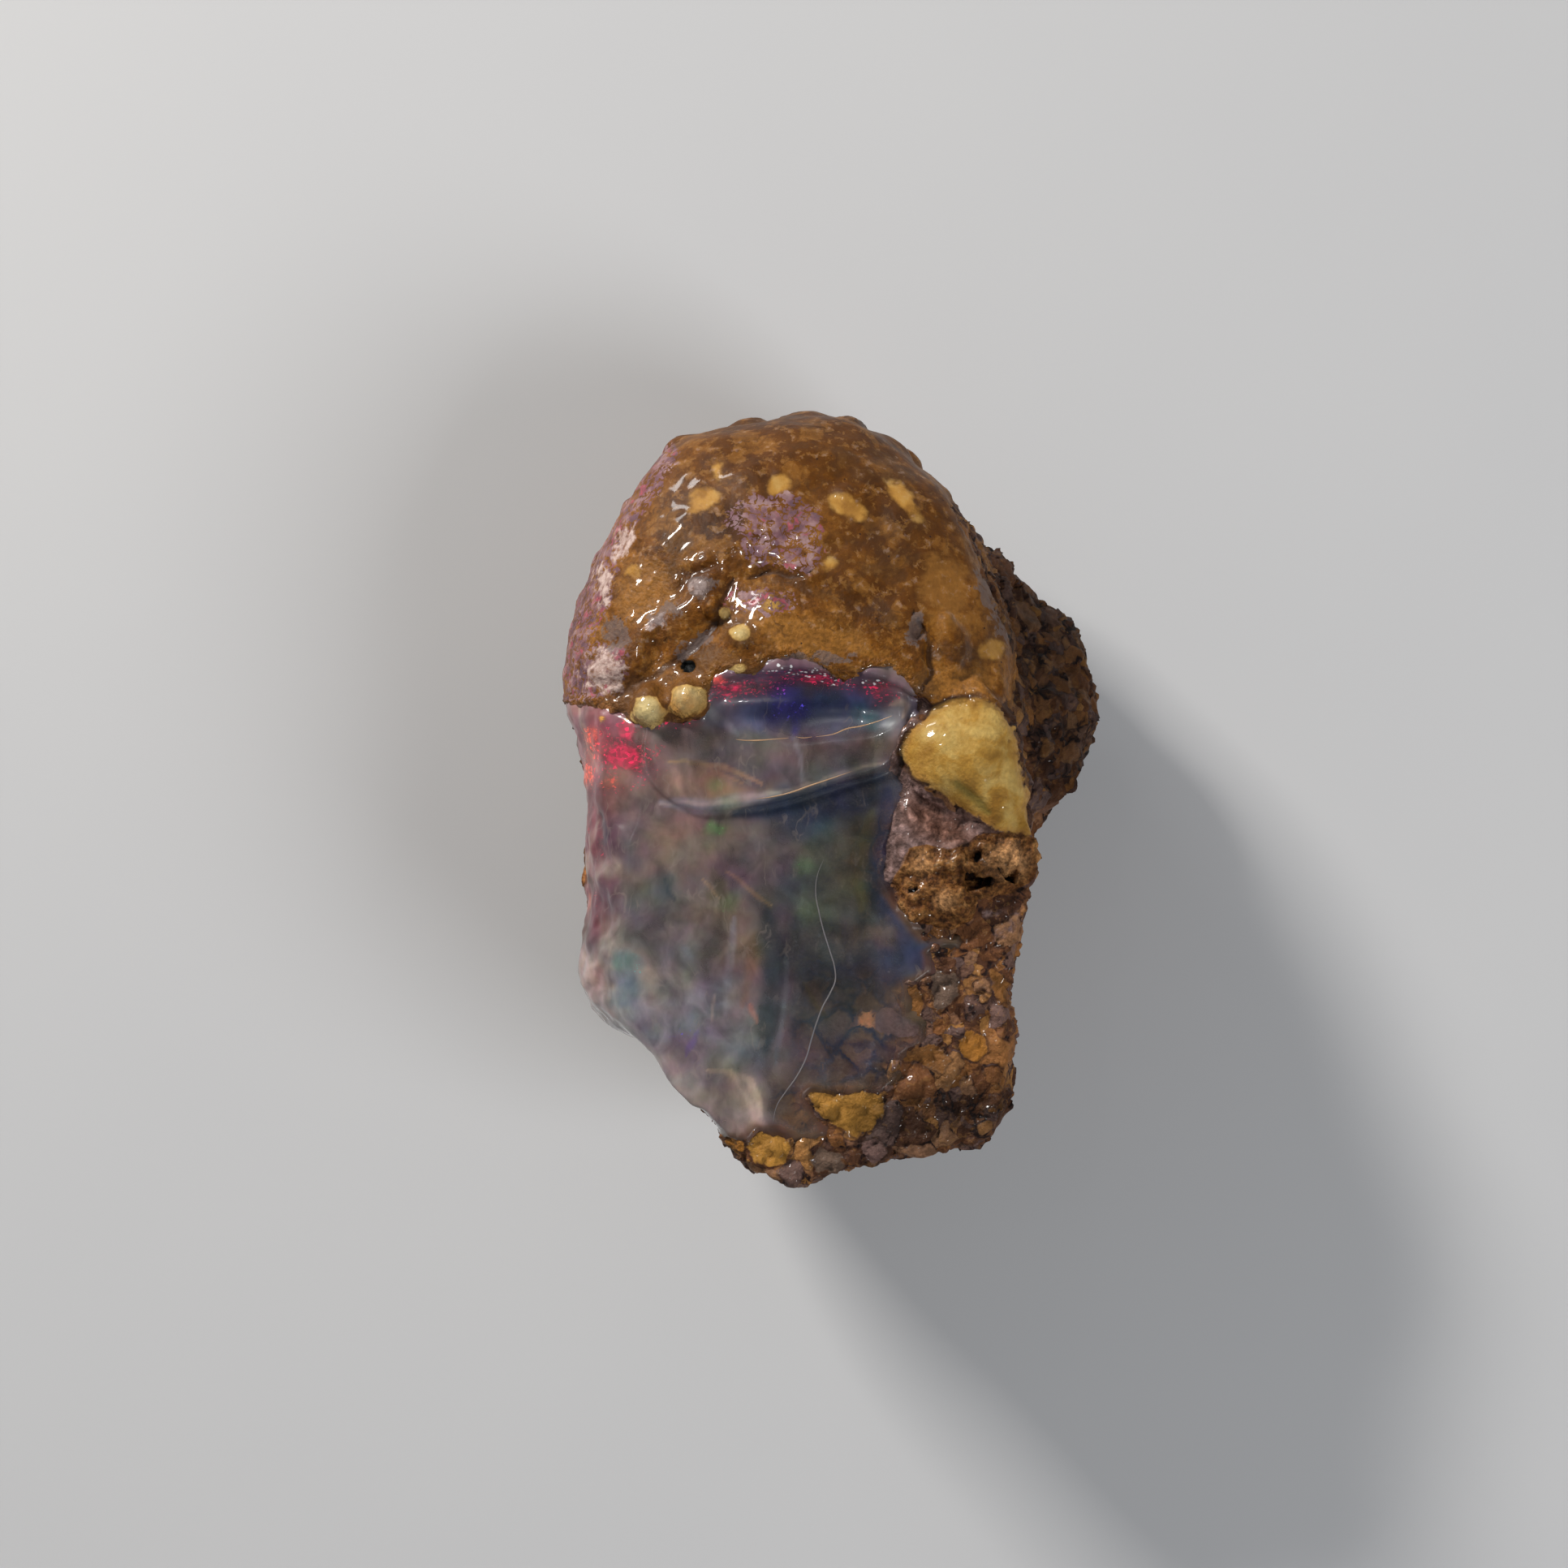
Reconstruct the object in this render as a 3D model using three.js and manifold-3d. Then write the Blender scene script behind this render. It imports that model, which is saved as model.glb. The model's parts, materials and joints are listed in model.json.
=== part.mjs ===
// A rough opal still in its host rock, lying on its broken back with its ground window facing up.
// The stone is one piece: opal filled a cavity in a brown volcanic tuff full of small fragments. A
// ground flat looks into the opal, a raised shell of opal with a deep scoop in it lies along the upper
// rim, a domed clay crust covers the upper end, a yellow clay nodule and a porous knob stand on the
// right, and a shoulder of bare host rock stands out behind the right side.
// Millimetres, +Z up out of the window, +Y towards the dome, +X right as one looks at the window.
// The origin is on the flat break that the stone rests on.

import * as THREE from "three";
import { mergeVertices } from "three/addons/utils/BufferGeometryUtils.js";
import Module from "manifold-3d";

const wasm = await Module();
wasm.setup();

// Driving dimensions
const WINDOW_HEIGHT = 29; // the ground window above the resting face
const WIDEST_HEIGHT = 20; // where the sides stand out furthest
const SIDE_UNDERCUT = 7.5; // how far the sides draw in from there down to the resting face
const RIM_Y = 9.6; // where the clay crust ends and the ground window begins
const STEP_HEIGHT = 0.9; // how far the raised shell of opal stands above the window
const FRAGMENT_SIZE = 4.6; // the fragments packed in the host rock
const FRAGMENT_RELIEF = 0.95; // how deep the joints between them are weathered

// The stone's outline as one looks down on the window, clockwise from the top of the dome
const OUTLINE = [
  [-1.8, 34.2], [3.9, 33.2], [8.2, 30.0], [11.6, 25.6], [14.0, 19.8], [15.6, 14.4], [16.0, 8.6], [16.1, 2.4],
  [17.0, -1.6], [17.3, -5.2], [16.7, -9.8], [15.7, -16.0], [15.5, -24.6], [14.6, -28.4], [12.0, -30.0],
  [6.2, -31.0], [0.6, -32.5], [-3.6, -33.1], [-7.2, -31.2], [-10.9, -27.4], [-14.2, -23.4], [-17.1, -20.9],
  [-20.0, -19.2], [-21.6, -16.4], [-21.9, -13.8], [-21.3, -10.8], [-21.5, -6.6], [-21.5, -1.2], [-22.2, 3.6],
  [-23.5, 8.4], [-23.0, 12.8], [-21.9, 17.8], [-20.2, 22.2], [-18.1, 27.0], [-14.4, 31.6], [-9.0, 34.0],
];

// The dome that carries the clay crust, and the shoulder of host rock behind it on the right
const DOME = { centre: [-3, 6.5, 11], radii: [29, 30, 21.3] };
const SHOULDER = { centre: [12.2, 9.5, 10.9], radii: [11.9, 14.6, 9.6] };

// Planes along which the stone broke: the way each one faces and a point on it
const BREAKS = [
  { faces: [0.05, -0.62, -0.78], through: [0, -25, 4.5] },
  { faces: [-0.74, -0.1, -0.66], through: [-17, 0, 6] },
  { faces: [-0.5, 0.55, -0.67], through: [-14, 24, 4] },
  { faces: [0.72, -0.42, -0.55], through: [14, -17, 8] },
  { faces: [0.12, 0.7, -0.7], through: [0, 30, 5] },
  { faces: [-0.62, -0.55, -0.56], through: [-15, -19, 8] },
];
const SHOULDER_BREAKS = [
  { faces: [0.74, 0.67, 0.02], through: [18.8, 18.4, 10] },
  { faces: [0.62, -0.5, -0.6], through: [19.5, 2, 6] },
  { faces: [0.5, 0.3, 0.81], through: [17.5, 11, 17.2] },
];
// The unground left edge, where the opal's own skin slopes away from the window
const LEFT_SLOPE = { faces: [-0.62, 0, 0.78], through: [-18.2, 0, WINDOW_HEIGHT] };
// A furrow in the crust, from the pair of nodules up into the dome
const FURROW = { from: [-15, 10.5, 30.5], to: [-6.5, 19, 31], width: 3, depth: 1.1 };

function smoothstep(low, high, x) {
  const t = THREE.MathUtils.clamp((x - low) / (high - low), 0, 1);
  return t * t * (3 - 2 * t);
}

function smoothMax(a, b, radius) {
  const h = Math.max(radius - Math.abs(a - b), 0) / radius;
  return Math.max(a, b) + (h * h * radius) / 4;
}

const smoothMin = (a, b, radius) => -smoothMax(-a, -b, radius);

// A repeatable number from 0 to 1 for each point of the whole-number lattice
function latticeValue(i, j, k) {
  let h = Math.imul(i, 374761393) ^ Math.imul(j, 668265263) ^ Math.imul(k, 2147483647);
  h = Math.imul(h ^ (h >>> 13), 1274126177);
  return ((h ^ (h >>> 16)) >>> 0) / 4294967295;
}

// Smooth noise from -1 to 1 with bumps about one unit across
function noise(p) {
  const [i, j, k] = [Math.floor(p.x), Math.floor(p.y), Math.floor(p.z)];
  const [u, v, w] = [p.x - i, p.y - j, p.z - k].map((t) => t * t * (3 - 2 * t));
  let sum = 0;
  for (let corner = 0; corner < 8; corner++) {
    const [a, b, c] = [corner & 1, (corner >> 1) & 1, corner >> 2];
    const weight = (a ? u : 1 - u) * (b ? v : 1 - v) * (c ? w : 1 - w);
    sum += weight * latticeValue(i + a, j + b, k + c);
  }
  return 2 * sum - 1;
}

const noiseAt = (p, size) => noise(p.clone().divideScalar(size));

// Rounded fragments packed side by side, from 0 in the joints to 1 on a fragment
function packedFragments(p) {
  const [x, y, z] = [Math.floor(p.x), Math.floor(p.y), Math.floor(p.z)];
  let [first, second] = [Infinity, Infinity];
  for (let n = 0; n < 27; n++) {
    const [i, j, k] = [x + (n % 3) - 1, y + (Math.floor(n / 3) % 3) - 1, z + Math.floor(n / 9) - 1];
    const middle = new THREE.Vector3(
      i + latticeValue(i, j, k),
      j + latticeValue(j, k, i + 7),
      k + latticeValue(k, i, j + 13),
    );
    const distance = middle.distanceTo(p);
    [first, second] = distance < first ? [distance, first] : [first, Math.min(second, distance)];
  }
  return smoothstep(0, 0.55, second - first);
}

const closedCurve = (points) =>
  new THREE.CatmullRomCurve3(
    points.map(([x, y]) => new THREE.Vector3(x, y, 0)),
    true,
  );
const outlinePoints = closedCurve(OUTLINE).getPoints(OUTLINE.length * 5);

// Distance from the outline in plan, negative inside it
function outlineDistance(x, y) {
  let [nearest, inside] = [Infinity, false];
  for (let i = 0; i + 1 < outlinePoints.length; i++) {
    const [a, b] = [outlinePoints[i], outlinePoints[i + 1]];
    const [dx, dy] = [b.x - a.x, b.y - a.y];
    const t = THREE.MathUtils.clamp(((x - a.x) * dx + (y - a.y) * dy) / (dx * dx + dy * dy), 0, 1);
    nearest = Math.min(nearest, Math.hypot(x - a.x - t * dx, y - a.y - t * dy));
    if (a.y > y !== b.y > y && x < a.x + ((y - a.y) / dy) * dx) inside = !inside;
  }
  return inside ? -nearest : nearest;
}

const asPlane = ({ faces, through }) =>
  new THREE.Plane().setFromNormalAndCoplanarPoint(
    new THREE.Vector3(...faces).normalize(),
    new THREE.Vector3(...through),
  );
const breakPlanes = BREAKS.map(asPlane);
const shoulderPlanes = SHOULDER_BREAKS.map(asPlane);
const leftSlope = asPlane(LEFT_SLOPE);
const furrow = new THREE.Line3(new THREE.Vector3(...FURROW.from), new THREE.Vector3(...FURROW.to));
const upright = new THREE.Vector3(0, 0, 1);

// Distance from an ellipsoid that may be turned about Z, near enough close to its surface
function ellipsoidDistance(p, { centre, radii, turn = 0 }) {
  const local = p.clone().sub(new THREE.Vector3(...centre));
  local.applyAxisAngle(upright, THREE.MathUtils.degToRad(-turn));
  return (local.divide(new THREE.Vector3(...radii)).length() - 1) * Math.min(...radii);
}

const cutBy = (distance, planes, p, radius) =>
  planes.reduce((deepest, plane) => smoothMax(deepest, plane.distanceToPoint(p), radius), distance);

const CUT_STOCK = 1.6; // stock that the window and the resting face are cut from

// The front of the stone: the window's stock and the dome, inside the outline
function frontDistance(p) {
  const drop = Math.max(WIDEST_HEIGHT - p.z, 0) / WIDEST_HEIGHT;
  const side = outlineDistance(p.x, p.y) + SIDE_UNDERCUT * drop ** 2;
  const windowStock = Math.max(p.z - WINDOW_HEIGHT - CUT_STOCK, p.y - RIM_Y + 0.6);
  const top = smoothMin(ellipsoidDistance(p, DOME), windowStock, 1.5);
  const edge = smoothMax(side, top, 1.6 + 4.4 * smoothstep(8, 20, p.y));
  return smoothMax(edge, leftSlope.distanceToPoint(p), 3);
}

// How far the surface stands out of its plain form: waves everywhere, and fragments on the bare rock
function relief(p) {
  const onOpalSkin = smoothstep(-15, -20, p.x) * smoothstep(14, 9, p.y);
  const onCrust = smoothstep(15, 19, p.z) * smoothstep(RIM_Y - 2, RIM_Y + 2, p.y);
  const bareRock = (1 - 0.75 * onOpalSkin) * (1 - 0.8 * onCrust);
  const aboveRest = smoothstep(0, 3, p.z);
  const waves = (0.55 * noiseAt(p, 8) + 0.25 * noiseAt(p, 3.4)) * (0.5 + 0.5 * aboveRest);
  const fragments = packedFragments(p.clone().divideScalar(FRAGMENT_SIZE)) - 0.5;
  const fromFurrow = furrow.closestPointToPoint(p, true, new THREE.Vector3()).distanceTo(p);
  const groove = FURROW.depth * smoothstep(FURROW.width, 0, fromFurrow);
  return waves + FRAGMENT_RELIEF * bareRock * aboveRest * fragments - groove;
}

// Negative inside the stone
function stoneDistance(p) {
  const front = cutBy(frontDistance(p), breakPlanes, p, 2.5);
  const shoulder = cutBy(ellipsoidDistance(p, SHOULDER), shoulderPlanes, p, 3);
  const bulk = smoothMin(front, shoulder, 2.2);
  return smoothMax(bulk, -CUT_STOCK - p.z, 0.8) - relief(p);
}

// Vertices moved by a function of their place, as a closed geometry with shared vertices
function shaped(geometry, move) {
  const made = geometry.clone();
  made.deleteAttribute("normal");
  made.deleteAttribute("uv");
  const merged = mergeVertices(made, 1e-4);
  const position = merged.getAttribute("position");
  for (let i = 0; i < position.count; i++) {
    const p = move(new THREE.Vector3().fromBufferAttribute(position, i));
    position.setXYZ(i, p.x, p.y, p.z);
  }
  return merged;
}

function toSolid(geometry) {
  const merged = shaped(geometry, (p) => p);
  return new wasm.Manifold(
    new wasm.Mesh({
      numProp: 3,
      vertProperties: new Float32Array(merged.getAttribute("position").array),
      triVerts: new Uint32Array(merged.index.array),
    }),
  );
}

function toGeometry(solid) {
  const { vertProperties, triVerts } = solid.getMesh();
  const geometry = new THREE.BufferGeometry()
    .setAttribute("position", new THREE.BufferAttribute(vertProperties, 3))
    .setIndex(new THREE.BufferAttribute(triVerts, 1));
  geometry.computeVertexNormals();
  return geometry;
}

// A solid whose surface is the outermost zero of a distance along every direction from its core.
// The half lengths spread the triangles evenly over a long form.
function solidFromDistance({ distance, core, half, detail }) {
  const [middle, size] = [new THREE.Vector3(...core), new THREE.Vector3(...half)];
  const reach = 1.6 * Math.max(...half);
  const surface = shaped(new THREE.IcosahedronGeometry(1, detail), (p) => {
    const direction = p.multiply(size).normalize();
    const at = (t) => middle.clone().addScaledVector(direction, t);
    let [outside, inside] = [reach, reach];
    while (distance(at(inside)) > 0 && inside > 0) {
      outside = inside;
      inside -= reach / 60;
    }
    for (let i = 0; i < 12; i++) {
      const halfway = (inside + outside) / 2;
      [inside, outside] = distance(at(halfway)) > 0 ? [inside, halfway] : [halfway, outside];
    }
    return at(inside);
  });
  return toSolid(surface);
}

// Ellipsoids melted into one lump, roughened by noise
function lump({ pieces, melt = 1, rough = 0, grain = 1.5, detail }) {
  const [main] = pieces;
  const distance = (p) =>
    pieces.reduce((sum, piece) => smoothMin(sum, ellipsoidDistance(p, piece), melt), Infinity) -
    rough * noiseAt(p, grain);
  return solidFromDistance({ distance, core: main.centre, half: main.radii, detail });
}

// An upright block with a given plan, from one height to another
function prism(plan, low, high, bevel = 0) {
  const edge = new THREE.Shape(plan.map(([x, y]) => new THREE.Vector2(x, y)));
  const geometry = new THREE.ExtrudeGeometry(edge, {
    depth: high - low - bevel,
    bevelEnabled: bevel > 0,
    bevelThickness: bevel,
    bevelSize: bevel,
    bevelOffset: -bevel,
    bevelSegments: 2,
  });
  return toSolid(geometry.translate(0, 0, low));
}

// The broken stone with its resting face and its window cut flat. The window ends along the foot of
// the crust, which reaches further down on the right, to the yellow nodule.
const FAR = 60;
const CRUST_FOOT = [
  [-FAR, 8.4], [-18, 8.6], [-12, 8.9], [-6, 9.2], [0, 9.3], [5.6, 9.2], [7.4, 8.0], [FAR, 8.0],
];

function stoneBulk() {
  const belowRest = prism([[-FAR, -FAR], [FAR, -FAR], [FAR, FAR], [-FAR, FAR]], -FAR, 0);
  const aboveWindow = prism([...CRUST_FOOT, [FAR, -FAR], [-FAR, -FAR]], WINDOW_HEIGHT, FAR);
  const rough = solidFromDistance({
    distance: stoneDistance,
    core: [-2, 0, 13],
    half: [21, 33, 17],
    detail: 17,
  });
  return rough.subtract(belowRest).subtract(aboveWindow);
}

// The raised shell of opal below the rim, with a bevelled edge
const STEP_BEVEL = 0.7;
const STEP_OUTLINE = [
  [5.3, 2.9], [0.6, 1.0], [-4.6, -0.6], [-8.6, -1.2], [-12.0, -1.3], [-14.8, 0.2],
  [-16.2, 3.0], [-15.6, 6.4], [-11.5, 9.4], [-3.0, 10.2], [5.6, 9.8],
];

function raisedShell() {
  const edge = closedCurve(STEP_OUTLINE).getPoints(44).slice(0, -1);
  const plan = edge.map((p) => [p.x, p.y]);
  return prism(plan, WINDOW_HEIGHT - 3, WINDOW_HEIGHT + STEP_HEIGHT, STEP_BEVEL);
}

// The scoop that a shell-like break left under the rim
const SCOOP = {
  pieces: [
    { centre: [-2.2, 7.5, 33.2], radii: [11.6, 3.4, 4.7] },
    { centre: [-2.6, 5.9, 33.0], radii: [10.0, 2.6, 3.6] },
  ],
  rough: 0.15,
  grain: 3,
  detail: 7,
};

// What stands proud of the window on the right: a smooth clay nodule, and a porous knob under it
const YELLOW_NODULE = {
  pieces: [
    { centre: [9.9, 3.5, 27.4], radii: [4.6, 4.9, 4.8], turn: 10 },
    { centre: [12.3, 3.6, 27.0], radii: [4.2, 5.4, 4.6], turn: 10 },
    { centre: [14.2, -0.6, 26.8], radii: [3.2, 4.2, 3.9], turn: 24 },
  ],
  melt: 1.6,
  rough: 0.3,
  grain: 3.4,
  detail: 7,
};
const POROUS_KNOB = {
  pieces: [
    { centre: [10.6, -6.4, 27.6], radii: [5.8, 4.6, 3.0] },
    { centre: [8.4, -9.4, 28.0], radii: [3.2, 2.8, 2.2] },
    { centre: [6.8, -2.8, 27.8], radii: [2.2, 3.4, 2.2] },
    { centre: [14.4, -5.2, 27.4], radii: [2.8, 3.0, 2.8] },
  ],
  rough: 0.55,
  grain: 1.7,
  detail: 8,
};

// Round clay nodules: the pair at the window's left corner, then those in the crust of the dome
const CLAY_NODULES = [
  { centre: [-15.6, 7.6, 29.8], radii: [1.6, 1.9, 2.0], turn: 15 },
  { centre: [-12.3, 8.3, 30.4], radii: [1.6, 1.8, 1.9], turn: -20 },
  { centre: [-7.9, 13.3, 31.5], radii: [1.1, 1.1, 1.2] },
  { centre: [-9.9, 15.8, 30.4], radii: [0.9, 1.0, 1.2] },
  { centre: [-5.2, 16.4, 30.9], radii: [0.9, 0.9, 0.9] },
  { centre: [-4.6, 27.3, 25.4], radii: [1.3, 1.1, 1.3] },
  { centre: [1.4, 25.4, 26.2], radii: [2.0, 1.2, 1.3], turn: -25 },
  { centre: [-10.8, 26.6, 24.6], radii: [1.5, 1.2, 1.3] },
];

// Holes weathered in the knob and in the crust
const PITS = [
  { centre: [11.3, -5.3, 31.0], radii: [0.5, 1.1, 1.7], turn: 15 },
  { centre: [12.0, -7.3, 30.6], radii: [1.7, 0.6, 1.9], turn: -14 },
  { centre: [15.2, -6.6, 29.8], radii: [0.9, 0.5, 1.6], turn: 30 },
  { centre: [8.6, -5.0, 30.8], radii: [0.7, 0.6, 1.3] },
  { centre: [-12.4, 11.4, 31.4], radii: [0.9, 0.6, 1.8], turn: 20 },
  { centre: [7.0, 14.0, 30.6], radii: [0.6, 1.0, 1.5], turn: 20 },
];

function opalStone() {
  const nodule = (piece) => lump({ pieces: [piece], rough: 0.12, grain: 1, detail: 2 });
  const pit = (piece) => lump({ pieces: [piece], rough: 0.15, grain: 1, detail: 1 });
  const carved = stoneBulk().add(raisedShell()).subtract(lump(SCOOP));
  const raised = [lump(YELLOW_NODULE), lump(POROUS_KNOB), ...CLAY_NODULES.map(nodule)];
  const dressed = raised.reduce((solid, piece) => solid.add(piece), carved);
  const finished = PITS.map(pit).reduce((solid, hole) => solid.subtract(hole), dressed);
  const wetTuff = new THREE.MeshStandardMaterial({ color: 0x8a5f2c, roughness: 0.35, metalness: 0 });
  const stone = new THREE.Mesh(toGeometry(finished), wetTuff);
  stone.name = "opal_stone";
  return stone;
}

const part = new THREE.Group();
part.add(opalStone());

export default part;
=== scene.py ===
# %% [markdown]
# # Rough opal in its host rock
#
# This lesson dresses one packed stone: a rough precious opal that is still in its brown volcanic rock.
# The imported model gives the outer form. Here the form gets its fine relief, the clear opal is taken out
# of the rock as a body of its own that one can look into, and every surface gets a procedural finish, so
# that no picture is needed. The frame is loaded first, because every piece lies in the frame's place and
# moves with its body.

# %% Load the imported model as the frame
import json

import bpy
import numpy as np
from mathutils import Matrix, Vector, noise

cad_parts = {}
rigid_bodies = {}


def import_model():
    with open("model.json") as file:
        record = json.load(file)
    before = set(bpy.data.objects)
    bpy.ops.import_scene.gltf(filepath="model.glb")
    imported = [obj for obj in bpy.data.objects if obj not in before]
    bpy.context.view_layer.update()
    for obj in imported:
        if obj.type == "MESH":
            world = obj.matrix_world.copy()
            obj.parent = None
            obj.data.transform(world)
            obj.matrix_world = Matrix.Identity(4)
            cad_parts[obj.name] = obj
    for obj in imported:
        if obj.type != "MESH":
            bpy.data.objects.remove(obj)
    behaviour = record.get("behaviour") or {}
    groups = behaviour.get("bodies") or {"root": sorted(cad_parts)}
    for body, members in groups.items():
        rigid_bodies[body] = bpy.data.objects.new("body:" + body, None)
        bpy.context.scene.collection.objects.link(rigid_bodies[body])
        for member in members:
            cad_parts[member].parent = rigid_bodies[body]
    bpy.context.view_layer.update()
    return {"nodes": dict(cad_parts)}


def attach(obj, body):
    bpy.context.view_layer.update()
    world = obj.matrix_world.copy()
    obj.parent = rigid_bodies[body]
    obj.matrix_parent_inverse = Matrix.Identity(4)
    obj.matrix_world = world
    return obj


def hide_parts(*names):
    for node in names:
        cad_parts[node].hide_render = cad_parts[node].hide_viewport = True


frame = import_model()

MM = 0.001
stone_node = frame["nodes"]["opal_stone"]

# %% [markdown]
# ## Camera
#
# The stone is seen from straight above, the ground window facing the lens. A short lens close by would
# swell the dome and hide the stone's foot. So a lens of about 113 mm looks down from 0.42 m away, which
# keeps the stone's own proportions.

# %% Camera above the window
WINDOW_HEIGHT = 29.0
VIEW_AXIS = (-4.2, 1.0)
VIEW_DISTANCE = 420.0
SENSOR = 36.0
FIELD_WIDTH = 133.2

camera_place = [value * MM for value in (*VIEW_AXIS, WINDOW_HEIGHT + VIEW_DISTANCE)]
bpy.ops.object.camera_add(location=camera_place, rotation=(0, 0, 0))
camera = bpy.context.object
camera.name = "camera"
camera.data.sensor_width = SENSOR
camera.data.lens = SENSOR * VIEW_DISTANCE / FIELD_WIDTH
camera.data.clip_start = 0.01
bpy.context.scene.camera = camera
print("lens", round(camera.data.lens, 1), "mm")

# %% [markdown]
# ## Lamps
#
# The stone is wet, so a lamp shows twice on it: as light on the rock and as a streak in the wet coat.
# Large lamps would lay broad grey veils over it, so the boxes are small and stand low. The key box at the
# upper left draws the streaks on the dome, and the shoulder box, lower still, those on its steep side. The
# fill box at the right lights the shadows and isn't mirrored. Three tiny lamps only add tight glints.

# %% Soft boxes and glint lamps
STONE_MIDDLE = (0, 0, 0.015)


def add_lamp(name, place, size, power, tint=(1, 1, 1)):
    """A rectangular area lamp that faces the stone."""
    bpy.ops.object.light_add(type="AREA", location=place)
    lamp = bpy.context.object
    lamp.name = name
    lamp.rotation_euler = (Vector(STONE_MIDDLE) - Vector(place)).to_track_quat("-Z", "Y").to_euler()
    lamp.data.shape = "RECTANGLE"
    lamp.data.size, lamp.data.size_y = size
    lamp.data.energy = power
    lamp.data.color = tint
    return lamp


add_lamp("key_soft_box", (-0.38, 0.42, 0.31), (0.13, 0.08), 4.4, (1.0, 0.97, 0.93))
fill = add_lamp("fill_soft_box", (0.44, -0.24, 0.46), (0.30, 0.30), 2.4, (0.95, 0.97, 1.0))
fill.visible_glossy = False
add_lamp("shoulder_box", (-0.36, 0.56, 0.17), (0.16, 0.05), 0.7)
for number, place in enumerate([(-0.10, 0.30, 0.42), (0.20, -0.26, 0.40), (-0.16, 0.10, 0.52)]):
    glint = add_lamp(f"glint_lamp_{number}", place, (0.02, 0.02), 0.25)
    glint.visible_diffuse = False
    glint.visible_transmission = False

# %% [markdown]
# ## Shader arithmetic in Python
#
# A rock finish is mostly arithmetic on patterns. One small class wraps a node's socket, so that an
# expression such as `1 - mask * 0.5` adds its own Math nodes. The same class works in a material and in a
# Geometry Nodes tree, so one function can colour the fragments of the rock and also raise them.

# %% The socket class


class Wire:
    """A node socket with arithmetic. Wire.tree is the node tree that is being built."""

    tree = None

    def __init__(self, socket):
        self.socket = socket

    @classmethod
    def make(cls, kind, settings=None, inputs=None, output=0):
        """Adds a node: its settings first, then the values or links of its sockets."""
        node = cls.tree.nodes.new(kind)
        for name, value in (settings or {}).items():
            if name == "stops":
                while len(node.color_ramp.elements) < len(value):
                    node.color_ramp.elements.new(1.0)
                for element, (position, colour) in zip(node.color_ramp.elements, value):
                    element.position = position
                    element.color = (*colour, 1)
            else:
                setattr(node, name, value)
        for name, value in (inputs or {}).items():
            socket = node.inputs[name]
            if isinstance(value, Wire):
                cls.tree.links.new(value.socket, socket)
            elif socket.type == "RGBA" and len(value) == 3:
                socket.default_value = (*value, 1)
            elif socket.type == "VECTOR" and isinstance(value, (int, float)):
                socket.default_value = (value,) * 3
            else:
                socket.default_value = value
        return cls(node.outputs[output]) if node.outputs else None

    def output(self, name):
        """Another output of the same node."""
        return Wire(self.socket.node.outputs[name])

    def combined(self, operation, other, turned=False):
        """A Math node, or a Vector Math node where either side is a colour or a vector."""
        first, second = (other, self) if turned else (self, other)
        sides = [side for side in (first, second) if isinstance(side, Wire)]
        spatial = any(side.socket.type in {"VECTOR", "RGBA"} for side in sides)
        kind = "ShaderNodeVectorMath" if spatial else "ShaderNodeMath"
        return Wire.make(kind, {"operation": operation}, {0: first, 1: second})

    def __add__(self, other):
        return self.combined("ADD", other)

    def __sub__(self, other):
        return self.combined("SUBTRACT", other)

    def __rsub__(self, other):
        return self.combined("SUBTRACT", other, turned=True)

    def __mul__(self, other):
        return self.combined("MULTIPLY", other)

    __radd__ = __add__
    __rmul__ = __mul__

    def most(self, other):
        return self.combined("MAXIMUM", other)

    def least(self, other):
        return self.combined("MINIMUM", other)

    def size(self):
        return self.combined("ABSOLUTE", 0)

    def above(self, low, high):
        """0 below low, 1 above high and an eased slope between them."""
        settings = {"interpolation_type": "SMOOTHSTEP", "clamp": True}
        return Wire.make("ShaderNodeMapRange", settings, {"Value": self, "From Min": low, "From Max": high})


print("socket class ready")

# %% Places and kept numbers


def own_place():
    """The object coordinates, in a material or in a Geometry Nodes tree."""
    if Wire.tree.bl_idname == "GeometryNodeTree":
        return Wire.make("GeometryNodeInputPosition")
    return Wire.make("ShaderNodeTexCoord", output="Object")


def field(name):
    """A number that the mesh keeps at its points."""
    if Wire.tree.bl_idname == "GeometryNodeTree":
        return Wire.make("GeometryNodeInputNamedAttribute", {"data_type": "FLOAT"}, {"Name": name})
    return Wire.make("ShaderNodeAttribute", {"attribute_name": name}, output="Fac")


def painted(name):
    """A colour that the mesh keeps at its points."""
    return Wire.make("ShaderNodeAttribute", {"attribute_name": name}, output="Color")


def parts(colour):
    """The three components of a vector or colour, as plain numbers."""
    split = Wire.make("ShaderNodeSeparateXYZ", {}, {0: colour})
    return split, split.output("Y"), split.output("Z")


print("places and kept numbers can be read")

# %% Mixing colours and numbers


def tinted(factor, first, second):
    """Mixes two colours by a factor."""
    settings = {"data_type": "RGBA", "clamp_factor": True}
    return Wire.make("ShaderNodeMix", settings, {0: factor, 6: first, 7: second}, output=2)


def between(factor, first, second):
    """Goes from the first number to the second by a factor."""
    settings = {"data_type": "FLOAT", "clamp_factor": True}
    return Wire.make("ShaderNodeMix", settings, {0: factor, 2: first, 3: second})


def scale_of(value, *stops):
    """A colour ramp read at a value."""
    return Wire.make("ShaderNodeValToRGB", {"stops": stops}, {"Fac": value})


def layered(ground, *layers):
    """A colour with others laid over it in turn, each with its share."""
    for share, upper_tone in layers:
        ground = tinted(share, ground, upper_tone)
    return ground


print("colours and numbers can be mixed")

# %% Noise, cells and lines


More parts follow.
